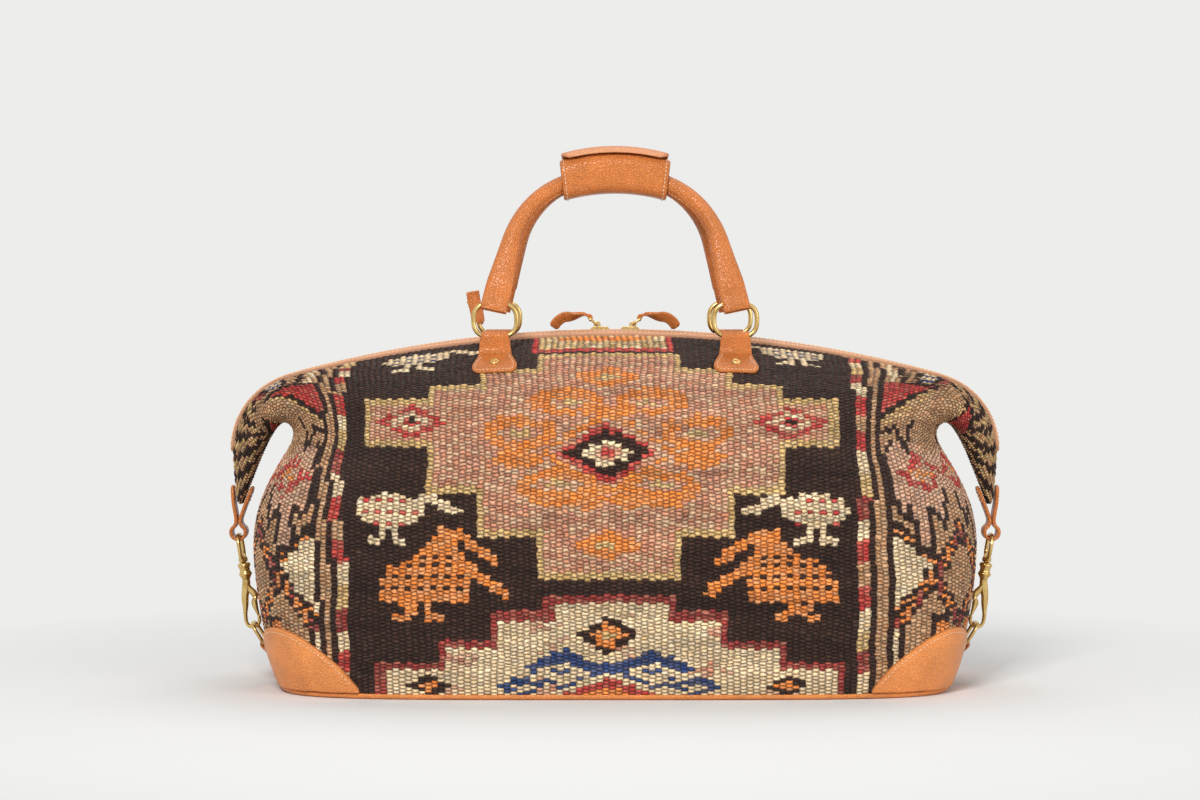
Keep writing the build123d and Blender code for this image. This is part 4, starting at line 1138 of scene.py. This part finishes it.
# Wrap: a sleeve round both grips, and its flap lapped over the top
WRAP_HALF, WRAP_HIGH, WRAP_CORNER, WRAP_WALL, WRAP_Z = 18.4, 12.5, 7.0, 2.2, 375.0
GRIP_HALF = GRIP_RADIUS * math.sin(GRIP_TURN)
GRIP_DROP = GRIP_RADIUS * (1 - math.cos(GRIP_TURN)) * RISE_WAY[2]
WRAP_AXIS = GRIP_TOP[2] - (GRIP_HALF**2 + GRIP_DROP**2) / (2 * GRIP_DROP)
WRAP_LEAN_SHARE = 0.4
# places along the sleeve in degrees round its axis, with rounded ends
SLEEVE_FLAT, SLEEVE_SEAM = 16.4, 16.1
SLEEVE_ENDS, SLEEVE_ROUND = vec(17.3, 17.15, 16.9), vec(0.9, 0.35, 0.08)
FLAP_HALF, FLAP_CORNER, FLAP_THICK_HALF, FLAP_LIP = 16.6, 11.0, 1.2, 0.9
FLAP_COLUMN_ENDS = vec(1, 0.985, 0.96)
DEGREES_PER_MM, MM_PER_DEGREE = 0.39, 2.5


def rounded_section(grow):
    # A rounded rectangle across the grips, counter-clockwise seen from the right end
    radius = WRAP_CORNER + grow
    out = []
    for side, rise, start in ((1, 1, 0), (-1, 1, 90), (-1, -1, 180), (1, -1, 270)):
        for a in np.radians(np.linspace(0, 90, 7)) + math.radians(start):
            y = side * (WRAP_HALF + grow - radius) + radius * math.cos(a)
            out.append((y, WRAP_Z + rise * (WRAP_HIGH + grow - radius) + radius * math.sin(a)))
    return np.array(out)


def swing(yz, degrees):
    # A section carried round the wrap's axis, leaning less than it travels
    a = np.radians(degrees)
    lean = WRAP_LEAN_SHARE * a
    reach, z = WRAP_Z - WRAP_AXIS, yz[..., 1] - WRAP_Z
    x = reach * np.sin(a) + z * np.sin(lean)
    return np.stack([x, yz[..., 0] + 0 * a, WRAP_AXIS + reach * np.cos(a) + z * np.cos(lean)], -1)


def mirrored(ends, middle, sign):
    return np.concatenate([sign * ends, middle, ends[::-1]])


def wrap_sleeve():
    stations = mirrored(SLEEVE_ENDS, np.linspace(-SLEEVE_FLAT, SLEEVE_FLAT, 25), -1)
    shrink = mirrored(SLEEVE_ROUND, np.zeros(25), 1)
    plump = 0.5 * np.cos(np.radians(stations / SLEEVE_ENDS[0] * 90))
    grow = WRAP_WALL - shrink + plump - 0.3
    outside = np.stack([swing(rounded_section(g), d) for d, g in zip(stations, grow)])
    inside = np.stack([swing(rounded_section(0.0), d) for d in stations])
    n, m = outside.shape[:2]
    under = n * m
    faces = grid_faces(n, m, False, True) + grid_faces(n, m, False, True, start=under, flip=True)
    for row in (0, n - 1):
        for j in range(m):
            near, far = row * m + j, row * m + (j + 1) % m
            face = [near, far, under + far, under + near]
            faces.append(face if row else face[::-1])
    value = np.concatenate([(shrink > 0.2).repeat(m), np.zeros(under)])
    points = np.concatenate([outside.reshape(-1, 3), inside.reshape(-1, 3)])
    piece("wrap_sleeve", points, faces, LEATHER, "handles", ("handle_wrap",), slot="leather", values=value)
    section, out = [rounded_section(WRAP_WALL + grown)[np.arange(m + 1) % m] for grown in (0.15, 1.15)]
    for hand, s in HANDS:
        row = swing(section, s * SLEEVE_SEAM)
        sewn = stitches(row, unit(swing(out, s * SLEEVE_SEAM) - row), *THIN_STITCH)
        thread_piece("wrap_stitches_" + hand, sewn, "handles")


def wrap_flap():
    grow = 2 * WRAP_WALL
    top = rounded_section(grow + 1.1)
    high = top[6][1]
    start = [(WRAP_HALF + 3.0, WRAP_Z - 2.0), (WRAP_HALF + grow * 0.9, WRAP_Z + 0.8)]
    crown = [(10, high + 0.1), (4, high + 0.4), (-3, high + 0.4), (-9, high + 0.1)]
    over = np.concatenate([start, top[1:6], crown, top[8:11] + (0, 0.4), [(-20.6, high - 3.3)]])
    path = smooth_path(np.concatenate([np.zeros((len(over), 1)), over], 1), 44)
    left = run_of(path)[-1] - run_of(path)
    spread = FLAP_HALF - rounded_end(left, FLAP_CORNER) * DEGREES_PER_MM
    normal = unit(np.cross(tangents(path), ALONG))
    normal *= np.sign(normal[len(normal) // 2, 2])
    columns = mirrored(FLAP_COLUMN_ENDS, np.linspace(-0.9, 0.9, 19), -1)
    grid, edges = [], []
    for height in (FLAP_THICK_HALF, -FLAP_THICK_HALF):
        for k in range(len(path)):
            for x in columns:
                beside = (1 - abs(x)) * spread[k] * MM_PER_DEGREE
                lip = min(1.0, left[k] / FLAP_LIP, beside / FLAP_LIP)
                thick = height * math.sqrt(max(0.06, 1 - (1 - lip) ** 2))
                grid.append(swing(path[k, 1:] + normal[k, 1:] * thick, spread[k] * x))
                edges.append(max(1 - lip, min(1, (7.5 - left[k]) / 4)))
    faces = slab_faces(len(path), len(columns))
    piece("wrap_flap", np.array(grid), faces, FLAP, "handles", slot="leather", values=edges)


wrap_sleeve()
wrap_flap()

# Chapes that hold the rings, with their rivets
CHAPE_THICK, CHAPE_EDGE, CHAPE_GAP = 2.0, 0.7, 0.3
CHAPE_HALF, CHAPE_NARROWING, CHAPE_STITCH_IN = 16.4, 4.4, 2.6
CHAPE_FOLD = RING_WIRE + CHAPE_GAP + CHAPE_THICK / 2
CHAPE_STITCH, CHAPE_STITCH_HIGH = (2.7, 1.8, 0.36, 0.34), 2.4
# how far its low and top ends are down the cloth from the zip
CHAPE_LOW, CHAPE_TOP = [1 - drop / CLOTH_HIGH for drop in (73.5, 46.5)]
RIVET_AT_SHARE, RIVET_LIFT = 0.45, 2.3
RIVET_PROFILE = ((3.6, -0.4), (3.6, 0.35), (3.45, 0.75), (3.0, 1.1), (2.2, 1.3), (1.9, 1.18), (1.0, 1.1),
                 (0.2, 1.08))


def chape_half(c):
    half = CHAPE_HALF - CHAPE_NARROWING * eased(np.clip((c - 0.2) / 0.75, 0, 1))
    return half * (1 - 0.22 * (1 - c) ** 14)


def chape_place(x, c):
    return x / CLOTH_HALF, CHAPE_LOW + (CHAPE_TOP - CHAPE_LOW) * c


def chape(name, node, turn):
    c = np.concatenate([[0.0, 0.015, 0.04, 0.08], np.linspace(0.14, 0.93, 16)])
    foot, normal = cloth(*chape_place(RING_X, c), CHAPE_GAP + CHAPE_THICK / 2)
    right, left = [cloth(*chape_place(RING_X + x, c))[0] for x in (8, -8)]
    side = unit(right - left)
    # round the ring's bar and back behind itself
    bar = vec(RING_X, RING_Y, RING_BAR)
    turns = np.radians(np.linspace(215, -10, 16))
    roll = [bar + vec(0, math.cos(a) * CHAPE_FOLD, math.sin(a) * CHAPE_FOLD) for a in turns]
    back = [bar + vec(0, CHAPE_FOLD * 0.9, -2.0), foot[-1] + normal[-1] * 0.2 + vec(0, 2.4, 0.8)]
    path = np.concatenate([foot, [(foot[-1] + normal[-1] * 0.9 + roll[0]) / 2], roll, back])
    more = len(path) - len(c)
    mix = np.clip((np.arange(len(path)) - len(c) + 5) / 5, 0, 1)[:, None]
    sides = unit(np.concatenate([side, np.tile(ALONG, (more, 1))]) * (1 - mix) + ALONG * mix)
    half = np.concatenate([chape_half(c), np.interp(np.arange(more), (0, 4, 30), (11.2, 9.8, 9.8))])
    leather_piece(name, strap(path, sides, half, CHAPE_THICK, CHAPE_EDGE), "bag", node, turn)
    # stitches along the sides and the low edge
    run = np.linspace(0.93, 0.06, 40)
    inset = chape_half(run) - CHAPE_STITCH_IN
    x = np.concatenate([RING_X + inset, np.linspace(RING_X + 10, RING_X - 10, 12), RING_X - inset[::-1]])
    up = np.concatenate([run, np.full(12, 0.062), run[::-1]])
    sewn = stitches(*cloth(*chape_place(x, up), CHAPE_STITCH_HIGH), *CHAPE_STITCH)
    thread_piece(name + "_stitches", sewn, "bag", turn)


ring_line = oval(RING_WIDE, RING_TALL, RING_SQUARENESS, RING_STEPS)
ring_path = vec(RING_X, RING_Y, RING_BAR + RING_TALL / 2) + ring_line[:, :1] * ALONG + ring_line[:, 1:] * UP
rivet, rivet_faces = lathe(RIVET_PROFILE, *cloth(*chape_place(RING_X, RIVET_AT_SHARE), RIVET_LIFT))
rivets = []
for depth, sy in SIDES:
    for hand, sx in HANDS:
        chape(depth + "_tab_" + hand, depth + "_chape_" + hand, (sx, sy))
        ring = tube(ring_path, RING_WIRE, 16)
        brass_piece(depth + "_loop_" + hand, ring, depth + "_rings", depth + "_ring_" + hand, (sx, sy))
        rivets.append((rivet * (sx, sy, 1), [face[::sx * sy] for face in rivet_faces]))
brass_piece("rivet_studs", join(*rivets), "bag", "chape_rivets")

# Hang loop on the back left ring: a short folded strip
HANG_X, HANG_Z = RING_X + RING_WIDE / 2, RING_BAR + (RING_TALL - 9) / 2
HANG_THICK, HANG_EDGE, HANG_FOLD, HANG_FOLD_HALF, HANG_HALF = 1.5, 0.5, 2.9, 4.4, 4.9
turns = np.radians(np.linspace(70, 290, 16))
hang_bar = vec(HANG_X, RING_Y, HANG_Z + 4.5)
hang_fold = [hang_bar + vec(math.cos(a), math.sin(a), 0) * HANG_FOLD for a in turns]
made = [strap(np.array(hang_fold), UP, HANG_FOLD_HALF, HANG_THICK, HANG_EDGE)]
for front, reach in ((-1, 24.5), (1, 19.0)):
    route = ((0.5, 2.6, 2), (1.4, 1.9, 9), (3.2, 0.85, 16), (4.6, 0.8, reach))
    path = smooth_path([vec(HANG_X + x, RING_Y + front * y, HANG_Z + z) for x, y, z in route], 24)
    made.append(strap(path, unit(np.cross(tangents(path), DEEP)), HANG_HALF, HANG_THICK, HANG_EDGE))
leather_piece("loop_strip", join(*made), "back_rings", "hang_loop", (-1, -1))

# Ear ends: strap, swivel hook, side ring and tab; the right one, then turned half round
HOOK_TILT, HOOK_DROP = 9.0, vec(1.4, 0, 23)
EYE_WIDE, EYE_TALL, EYE_WIRE, SIDE_WIRE, RUN_GAP = 24.0, 18.0, 1.5, 1.4, 0.3
EAR_STRAP_HALF, EAR_STRAP_THICK, EAR_STRAP_LONG, EAR_STRAP_CORNER = 8.4, 2.4, 13.0, 5.0
EAR_STRAP_OFF, EAR_STRAP_EDGE, EYE_LOOP_RADIUS, EYE_LOOP_INSIDE, NECK_RISE = 1.9, 0.9, 5.3, 4.0, 8.16
TAB_HALF, TAB_THICK, TAB_OFF, TAB_FOLD, TAB_BAR_OFF = 7.8, 2.1, 1.7, 2.8, 5.0
TAB_FOOT_SHARES, TAB_BAR_SHARE = (0.008, 0.03, 0.052), 0.085
BOWL_RADIUS, BOWL_AT, BOWL_INSIDE = 4.9, 64.0, 3.6
# the hook's limbs: rows of place out, place up from the eye's top, and half width
HOOK_LINE = [(0.0, -30.5, 2.6), (0.3, -35, 2.9), (1.3, -40, 3.1), (2.8, -45, 2.7), (3.5, -50, 2.5),
             (4.0, -54, 2.0), (4.7, -58, 1.55), (4.9, -61, 1.4)]
for a in np.radians(np.linspace(0, -180, 21)):
    HOOK_LINE.append((BOWL_RADIUS * math.cos(a), -BOWL_AT + BOWL_RADIUS * math.sin(a), 1.3))
HOOK_LINE += [(-4.9, -62.4, 1.3), (-4.9, -61.4, 1.15)]
SHOULDER = [(0.6, -37.0, 2.0), (-1.2, -40.5, 2.2), (-3.4, -43.6, 2.5), (-4.5, -46.0, 2.3)]
GATE_LINE = [(-3.5, -49.2, 1.9), (-3.2, -51.5, 2.3), (-3.4, -54, 2.0), (-3.9, -57, 1.5), (-4.5, -60.2, 1.0)]
HOOK_DEEP, SHOULDER_DEEP, GATE_DEEP = 2.2, 2.1, 1.9
GATE_PIN = (-4.4, -48.2, 0)
# turned parts: rows of radius and distance, down from the eye's top or along the gate's pin
COLLAR = ((0.2, 20.8), (3.4, 20.85), (4.1, 21.2), (4.2, 21.7), (4.7, 22.1), (4.85, 22.8), (4.7, 23.5),
          (4.1, 24.0), (3.8, 25.5), (3.8, 26.8), (4.1, 28.0), (4.7, 28.6), (4.85, 29.4), (4.6, 30.2),
          (4.0, 31.0), (3.3, 32.2), (2.6, 33.5), (0.2, 34.0))
BOSS = ((0.2, 15.9), (1.8, 16.0), (2.9, 16.6), (3.3, 17.6), (3.4, 18.8), (3.2, 19.9), (2.6, 20.35),
        (1.8, 20.4), (1.8, 21.2), (0.2, 21.3))
KNUCKLE = ((0.2, -2.3), (1.4, -2.25), (1.7, -1.9), (1.7, 1.9), (1.4, 2.25), (0.2, 2.3))
HOOK_UP, HOOK_OUT = turned(1, HOOK_TILT), turned(1, HOOK_TILT + 90)
EYE_TOP = outer(1) - HOOK_DROP


def on_hook(points):
    points = np.asarray(points, float)
    return EYE_TOP + points[:, :1] * HOOK_OUT + points[:, 1:2] * HOOK_UP + points[:, 2:3] * DEEP


def limb(rows, deep, sides=18):
    # A cast limb in the hook's plane, with rounded ends
    rows = smooth_path(rows, 6 * len(rows))
    flat, wide = rows[:, :2], rows[:, 2]
    way = tangents(flat)
    pushes, shares = vec(0.9, 0.65), vec(0.35, 0.72)
    first = flat[0] - way[0] * wide[0] * pushes[:, None]
    last = flat[-1] + way[-1] * wide[-1] * pushes[::-1, None]
    flat = np.concatenate([first, flat, last])
    part = np.concatenate([shares, np.ones(len(wide)), shares[::-1]])
    wide = np.pad(wide, 2, "edge") * part
    way = np.pad(way, ((2, 2), (0, 0)), "edge")
    side = np.stack([-way[:, 1], way[:, 0]], 1)
    c, s = oval(2, 2, 2.5, sides).T
    spots = flat[:, None] + side[:, None] * (wide[:, None] * c)[..., None]
    spots = np.concatenate([spots, (deep * part[:, None] * s)[..., None]], -1).reshape(-1, 3)
    return on_hook(spots), rod_faces(len(flat), sides)


# the ear strap: down the outside of the ear, round the hook's eye and up the inside
eye_loop = EYE_TOP + UP * (EYE_LOOP_INSIDE - EYE_WIRE - RUN_GAP)
neck = eye_loop + UP * NECK_RISE
outer_low = outer(1) + ALONG * EAR_STRAP_OFF
outer_high = outer_low - EAR_WAY * EAR_STRAP_LONG
inner_low = INNER_TIP - ALONG * EAR_STRAP_OFF
inner_high = inner_low - unit(inner(1) - inner(0.7)) * EAR_STRAP_LONG
down = [outer_high, (outer_high + outer_low) / 2, outer_low, neck + vec(1.5, 0, 1.0)]
back_up = [neck + vec(-1.5, 0, 1.0), inner_low, (inner_high + inner_low) / 2, inner_high]
strap_line = smooth_path(down + arc(eye_loop, EYE_LOOP_RADIUS, 60, -240, 18) + back_up, 90)
strap_run = run_of(strap_line)
strap_left = np.minimum(strap_run, strap_run[-1] - strap_run)
strap_half = EAR_STRAP_HALF - rounded_end(strap_left, EAR_STRAP_CORNER)
ear_strap = strap(strap_line, DEEP, strap_half, EAR_STRAP_THICK, EAR_STRAP_EDGE)

# the hook's eye, and the side ring in its leather tab
eye_line = oval(EYE_WIDE, EYE_TALL, 3.0, 64)
eye_path = EYE_TOP - HOOK_UP * (EYE_TALL / 2) + eye_line[:, :1] * DEEP + eye_line[:, 1:] * HOOK_UP
tab_base, tab_way = cloth(1.0, TAB_BAR_SHARE)
tab_bar = tab_base + tab_way * TAB_BAR_OFF
side_top = EYE_TOP - HOOK_UP * (BOWL_AT + BOWL_INSIDE - SIDE_WIRE - RUN_GAP)
side_line = oval(EYE_WIDE, np.linalg.norm(side_top - tab_bar), 3.4, 64)
side_path = (side_top + tab_bar) / 2 + side_line[:, :1] * DEEP + side_line[:, 1:] * unit(side_top - tab_bar)
tab_foot = [cloth(1.0, share, TAB_OFF)[0] for share in TAB_FOOT_SHARES]
tab_roll = arc(tab_bar, TAB_FOLD, -60, 205, 14)
tab_line = smooth_path(tab_foot + [(tab_foot[-1] + tab_roll[0]) / 2 + vec(0.4, 0, 0)] + tab_roll, 44)
side_tab = strap(tab_line, DEEP, TAB_HALF, TAB_THICK)


def ear_stitches(high, low, out):
    # A row round the strap's end, from one low corner to the other
    way = unit(low - high)
    face_out = unit(np.cross(way, DEEP))
    face_out = face_out * np.sign(face_out @ out)
    half_rim = [low + DEEP * 6.0, high + DEEP * 6.0 + way * 3.6, high + DEEP * 4.6 + way * 2.4]
    rim = np.array(half_rim + [point * (1, -1, 1) for point in half_rim[::-1]])
    return stitches(spaced(rim, 1.0) + face_out * 1.25, face_out, *THIN_STITCH)


for hand, s in HANDS:
    turn = (s, s)
    leather_piece("ear_loop_" + hand, ear_strap, "bag", "ear_strap_" + hand, turn)
    for label, *ends in (("out", outer_high, outer_low, ALONG), ("in", inner_high, inner_low, -ALONG)):
        thread_piece("ear_stitches_" + label + "_" + hand, ear_stitches(*ends), "bag", turn)
    made = join(tube(eye_path, EYE_WIRE, up=ALONG), lathe(BOSS, EYE_TOP, -HOOK_UP))
    brass_piece("swivel_eye_" + hand, made, "bag", "hook_eye_" + hand, turn)
    made = join(limb(HOOK_LINE, HOOK_DEEP), limb(SHOULDER, SHOULDER_DEEP), lathe(COLLAR, EYE_TOP, -HOOK_UP))
    brass_piece("swivel_hook_" + hand, made, "hook_" + hand, "hook_body_" + hand, turn)
    made = join(limb(GATE_LINE, GATE_DEEP), barrel(KNUCKLE, on_hook([GATE_PIN])[0]))
    brass_piece("snap_gate_" + hand, made, "gate_" + hand, "hook_gate_" + hand, turn)
    brass_piece("end_ring_" + hand, tube(side_path, SIDE_WIRE, up=ALONG), "bag", "side_ring_" + hand, turn)
    leather_piece("end_tab_" + hand, side_tab, "bag", "side_tab_" + hand, turn)

# Zip sliders and their leather pulls, in the slider's own directions along and up
SLIDER_AT, LINK_LONG, LINK_WIDE, LINK_WIRE, LINK_TILT = 11.0, 8.0, 10.0, 0.9, math.radians(40)
LINK_PIVOT, PULL_LONG, PULL_END_HIGH, PULL_THICK, PULL_EDGE = vec(2, 4.8), 26.0, 3.4, 2.2, 0.7
PULL_HALF, PULL_SPREAD, PULL_TWIST, PULL_ROUND, PULL_FOLD = 3.7, 0.7, 52.0, 1.6, 1.9
SLIDER_BEVEL = 0.0005
slide_turn = math.degrees(SLIDER_AT / ZIP_RADIUS)
slide_along, slide_up = turned(1, slide_turn + 90), turned(1, slide_turn)
slide_spot = ROOF_CENTRE + turned(ZIP_RADIUS, slide_turn)


def on_slide(points):
    points = np.asarray(points, float)
    return slide_spot + points[:, :1] * slide_along + points[:, 1:2] * slide_up


link_way = vec(math.cos(LINK_TILT), math.sin(LINK_TILT))
link = oval(LINK_LONG, LINK_WIDE, 4.5, 48)
link_path = on_slide(LINK_PIVOT + link_way * (LINK_LONG / 2) + link[:, :1] * link_way) + link[:, 1:] * DEEP
far = LINK_PIVOT + link_way * LINK_LONG
pull_end = vec(far[0] + PULL_LONG, PULL_END_HIGH)
pull_mid = (far + pull_end) / 2 + vec(3.24, 3.0)
pull_flat = [far + vec(math.cos(a), math.sin(a)) * PULL_FOLD for a in np.radians(np.linspace(250, 70, 10))]
pull_flat += [far + vec(4.5, 2.7), pull_mid + vec(-4, 1.4), pull_mid + vec(2, 0.9),
              (pull_mid + pull_end) / 2 + vec(1.8, 1.0), pull_end]
pull_line = smooth_path(on_slide(pull_flat), 54)
pull_run = run_of(pull_line)
pull_half = PULL_HALF + PULL_SPREAD * np.clip((pull_run - 8) / 12, 0, 1)
pull_half = pull_half - np.clip(PULL_ROUND - (pull_run[-1] - pull_run), 0, PULL_ROUND) ** 2 * 0.5
twist = np.radians(np.clip((pull_run - 7) / 14, 0, 1) * PULL_TWIST)[:, None]
pull_lift = unit(np.cross(tangents(pull_line), DEEP))
for hand, s in HANDS:
    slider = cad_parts["zip_slider_" + hand]
    slider.data.materials.clear()
    slider.data.materials.append(BRASS)
    weld = slider.modifiers.new("weld", "WELD")
    weld.merge_threshold = 0.00001
    bevel = slider.modifiers.new("bevel", "BEVEL")
    bevel.width, bevel.segments = SLIDER_BEVEL, 3
    bevel.limit_method, bevel.angle_limit = "ANGLE", math.radians(35)
    wire = tube(link_path, LINK_WIRE, 12, up=slide_up)
    brass_piece("puller_link_" + hand, wire, "pull_" + hand, "pull_link_" + hand, (s, s))
    pull_side = DEEP * np.cos(twist) - s * pull_lift * np.sin(twist)
    strip = strap(pull_line, pull_side, pull_half, PULL_THICK, PULL_EDGE)
    leather_piece("puller_strip_" + hand, strip, "pull_" + hand, "pull_strap_" + hand, (s, s))

# Studio, in metres: a round pale floor that fades into the background, soft light and the photograph's camera
BACKGROUND = (0.845, 0.845, 0.83, 1)
FLOOR_LIT, FLOOR_SEEN = (0.9, 0.9, 0.88, 1), (0.8, 0.8, 0.79, 1)
FLOOR_RADIUS, FLOOR_SIDES, FADE_START, FADE_END = 4, 64, 0.3, 0.66
WORLD_STRENGTH = 0.38
PHOTO_WIDE, FOCAL_PIXELS, HORIZON_PIXELS, SENSOR_WIDE = 1200, 3264, 122, 36
CAMERA_SPOT = (-0.011, -2.4, 0.298)


def link_item(name, data):
    item = bpy.data.objects.new(name, data)
    bpy.context.scene.collection.objects.link(item)
    return item


def floor_material():
    t = material_tree("studio_paper", Roughness=0.95, Specular_IOR_Level=0.1)
    straight = t.straight_rays()
    t.to("Base Color", t.mix("MIX", straight, FLOOR_LIT, FLOOR_SEEN))
    where = t.node("TexCoord").outputs["Object"]
    reach = t.node("VectorMath", {0: where}, operation="LENGTH").outputs["Value"]
    fade = t.math("MULTIPLY", straight, t.spread(reach, FADE_START, FADE_END, 0.0, 1.0))
    t.show(fade, t.node("Emission", Color=BACKGROUND), "Material Output")
    return t.owner


def lamp(name, spot, aim, size, watts):
    data = bpy.data.lights.new(name, "AREA")
    data.shape, data.size, data.size_y = "RECTANGLE", *size
    data.energy = watts
    item = link_item(name, data)
    item.location = spot
    item.rotation_euler = (Vector(aim) - Vector(spot)).to_track_quat("-Z", "Y").to_euler()
    item.visible_camera = False


mesh = bpy.data.meshes.new("studio_floor")
rim = [(FLOOR_RADIUS * math.cos(a), FLOOR_RADIUS * math.sin(a), 0.0) for a in round_angles(FLOOR_SIDES)]
mesh.from_pydata(rim, [], [list(range(FLOOR_SIDES))])
mesh.materials.append(floor_material())
floor = link_item("studio_floor", mesh)
lamp("key", (-0.5, -2.1, 1.55), (0, 0, 0.15), (0.7, 0.6), 45)
lamp("fill", (1.7, -1.7, 0.9), (0, 0, 0.15), (1.2, 1.2), 14)
lamp("top", (0.2, 0.9, 2.1), (0, 0.1, 0.1), (1.8, 1.2), 15)
world = bpy.data.worlds.new("studio")
bpy.context.scene.world = world
sky = Tree(world, "Background", Color=(1, 1, 1, 1), Strength=WORLD_STRENGTH)
sky.show(sky.straight_rays(), sky.node("Background", Color=BACKGROUND), "World Output")
data = bpy.data.cameras.new("camera")
data.lens, data.sensor_width = SENSOR_WIDE * FOCAL_PIXELS / PHOTO_WIDE, SENSOR_WIDE
camera = link_item("camera", data)
camera.location = CAMERA_SPOT
camera.rotation_euler = (math.radians(90) - math.atan(HORIZON_PIXELS / FOCAL_PIXELS), 0, 0)
bpy.context.scene.camera = camera
bpy.context.scene.view_settings.view_transform = "Standard"
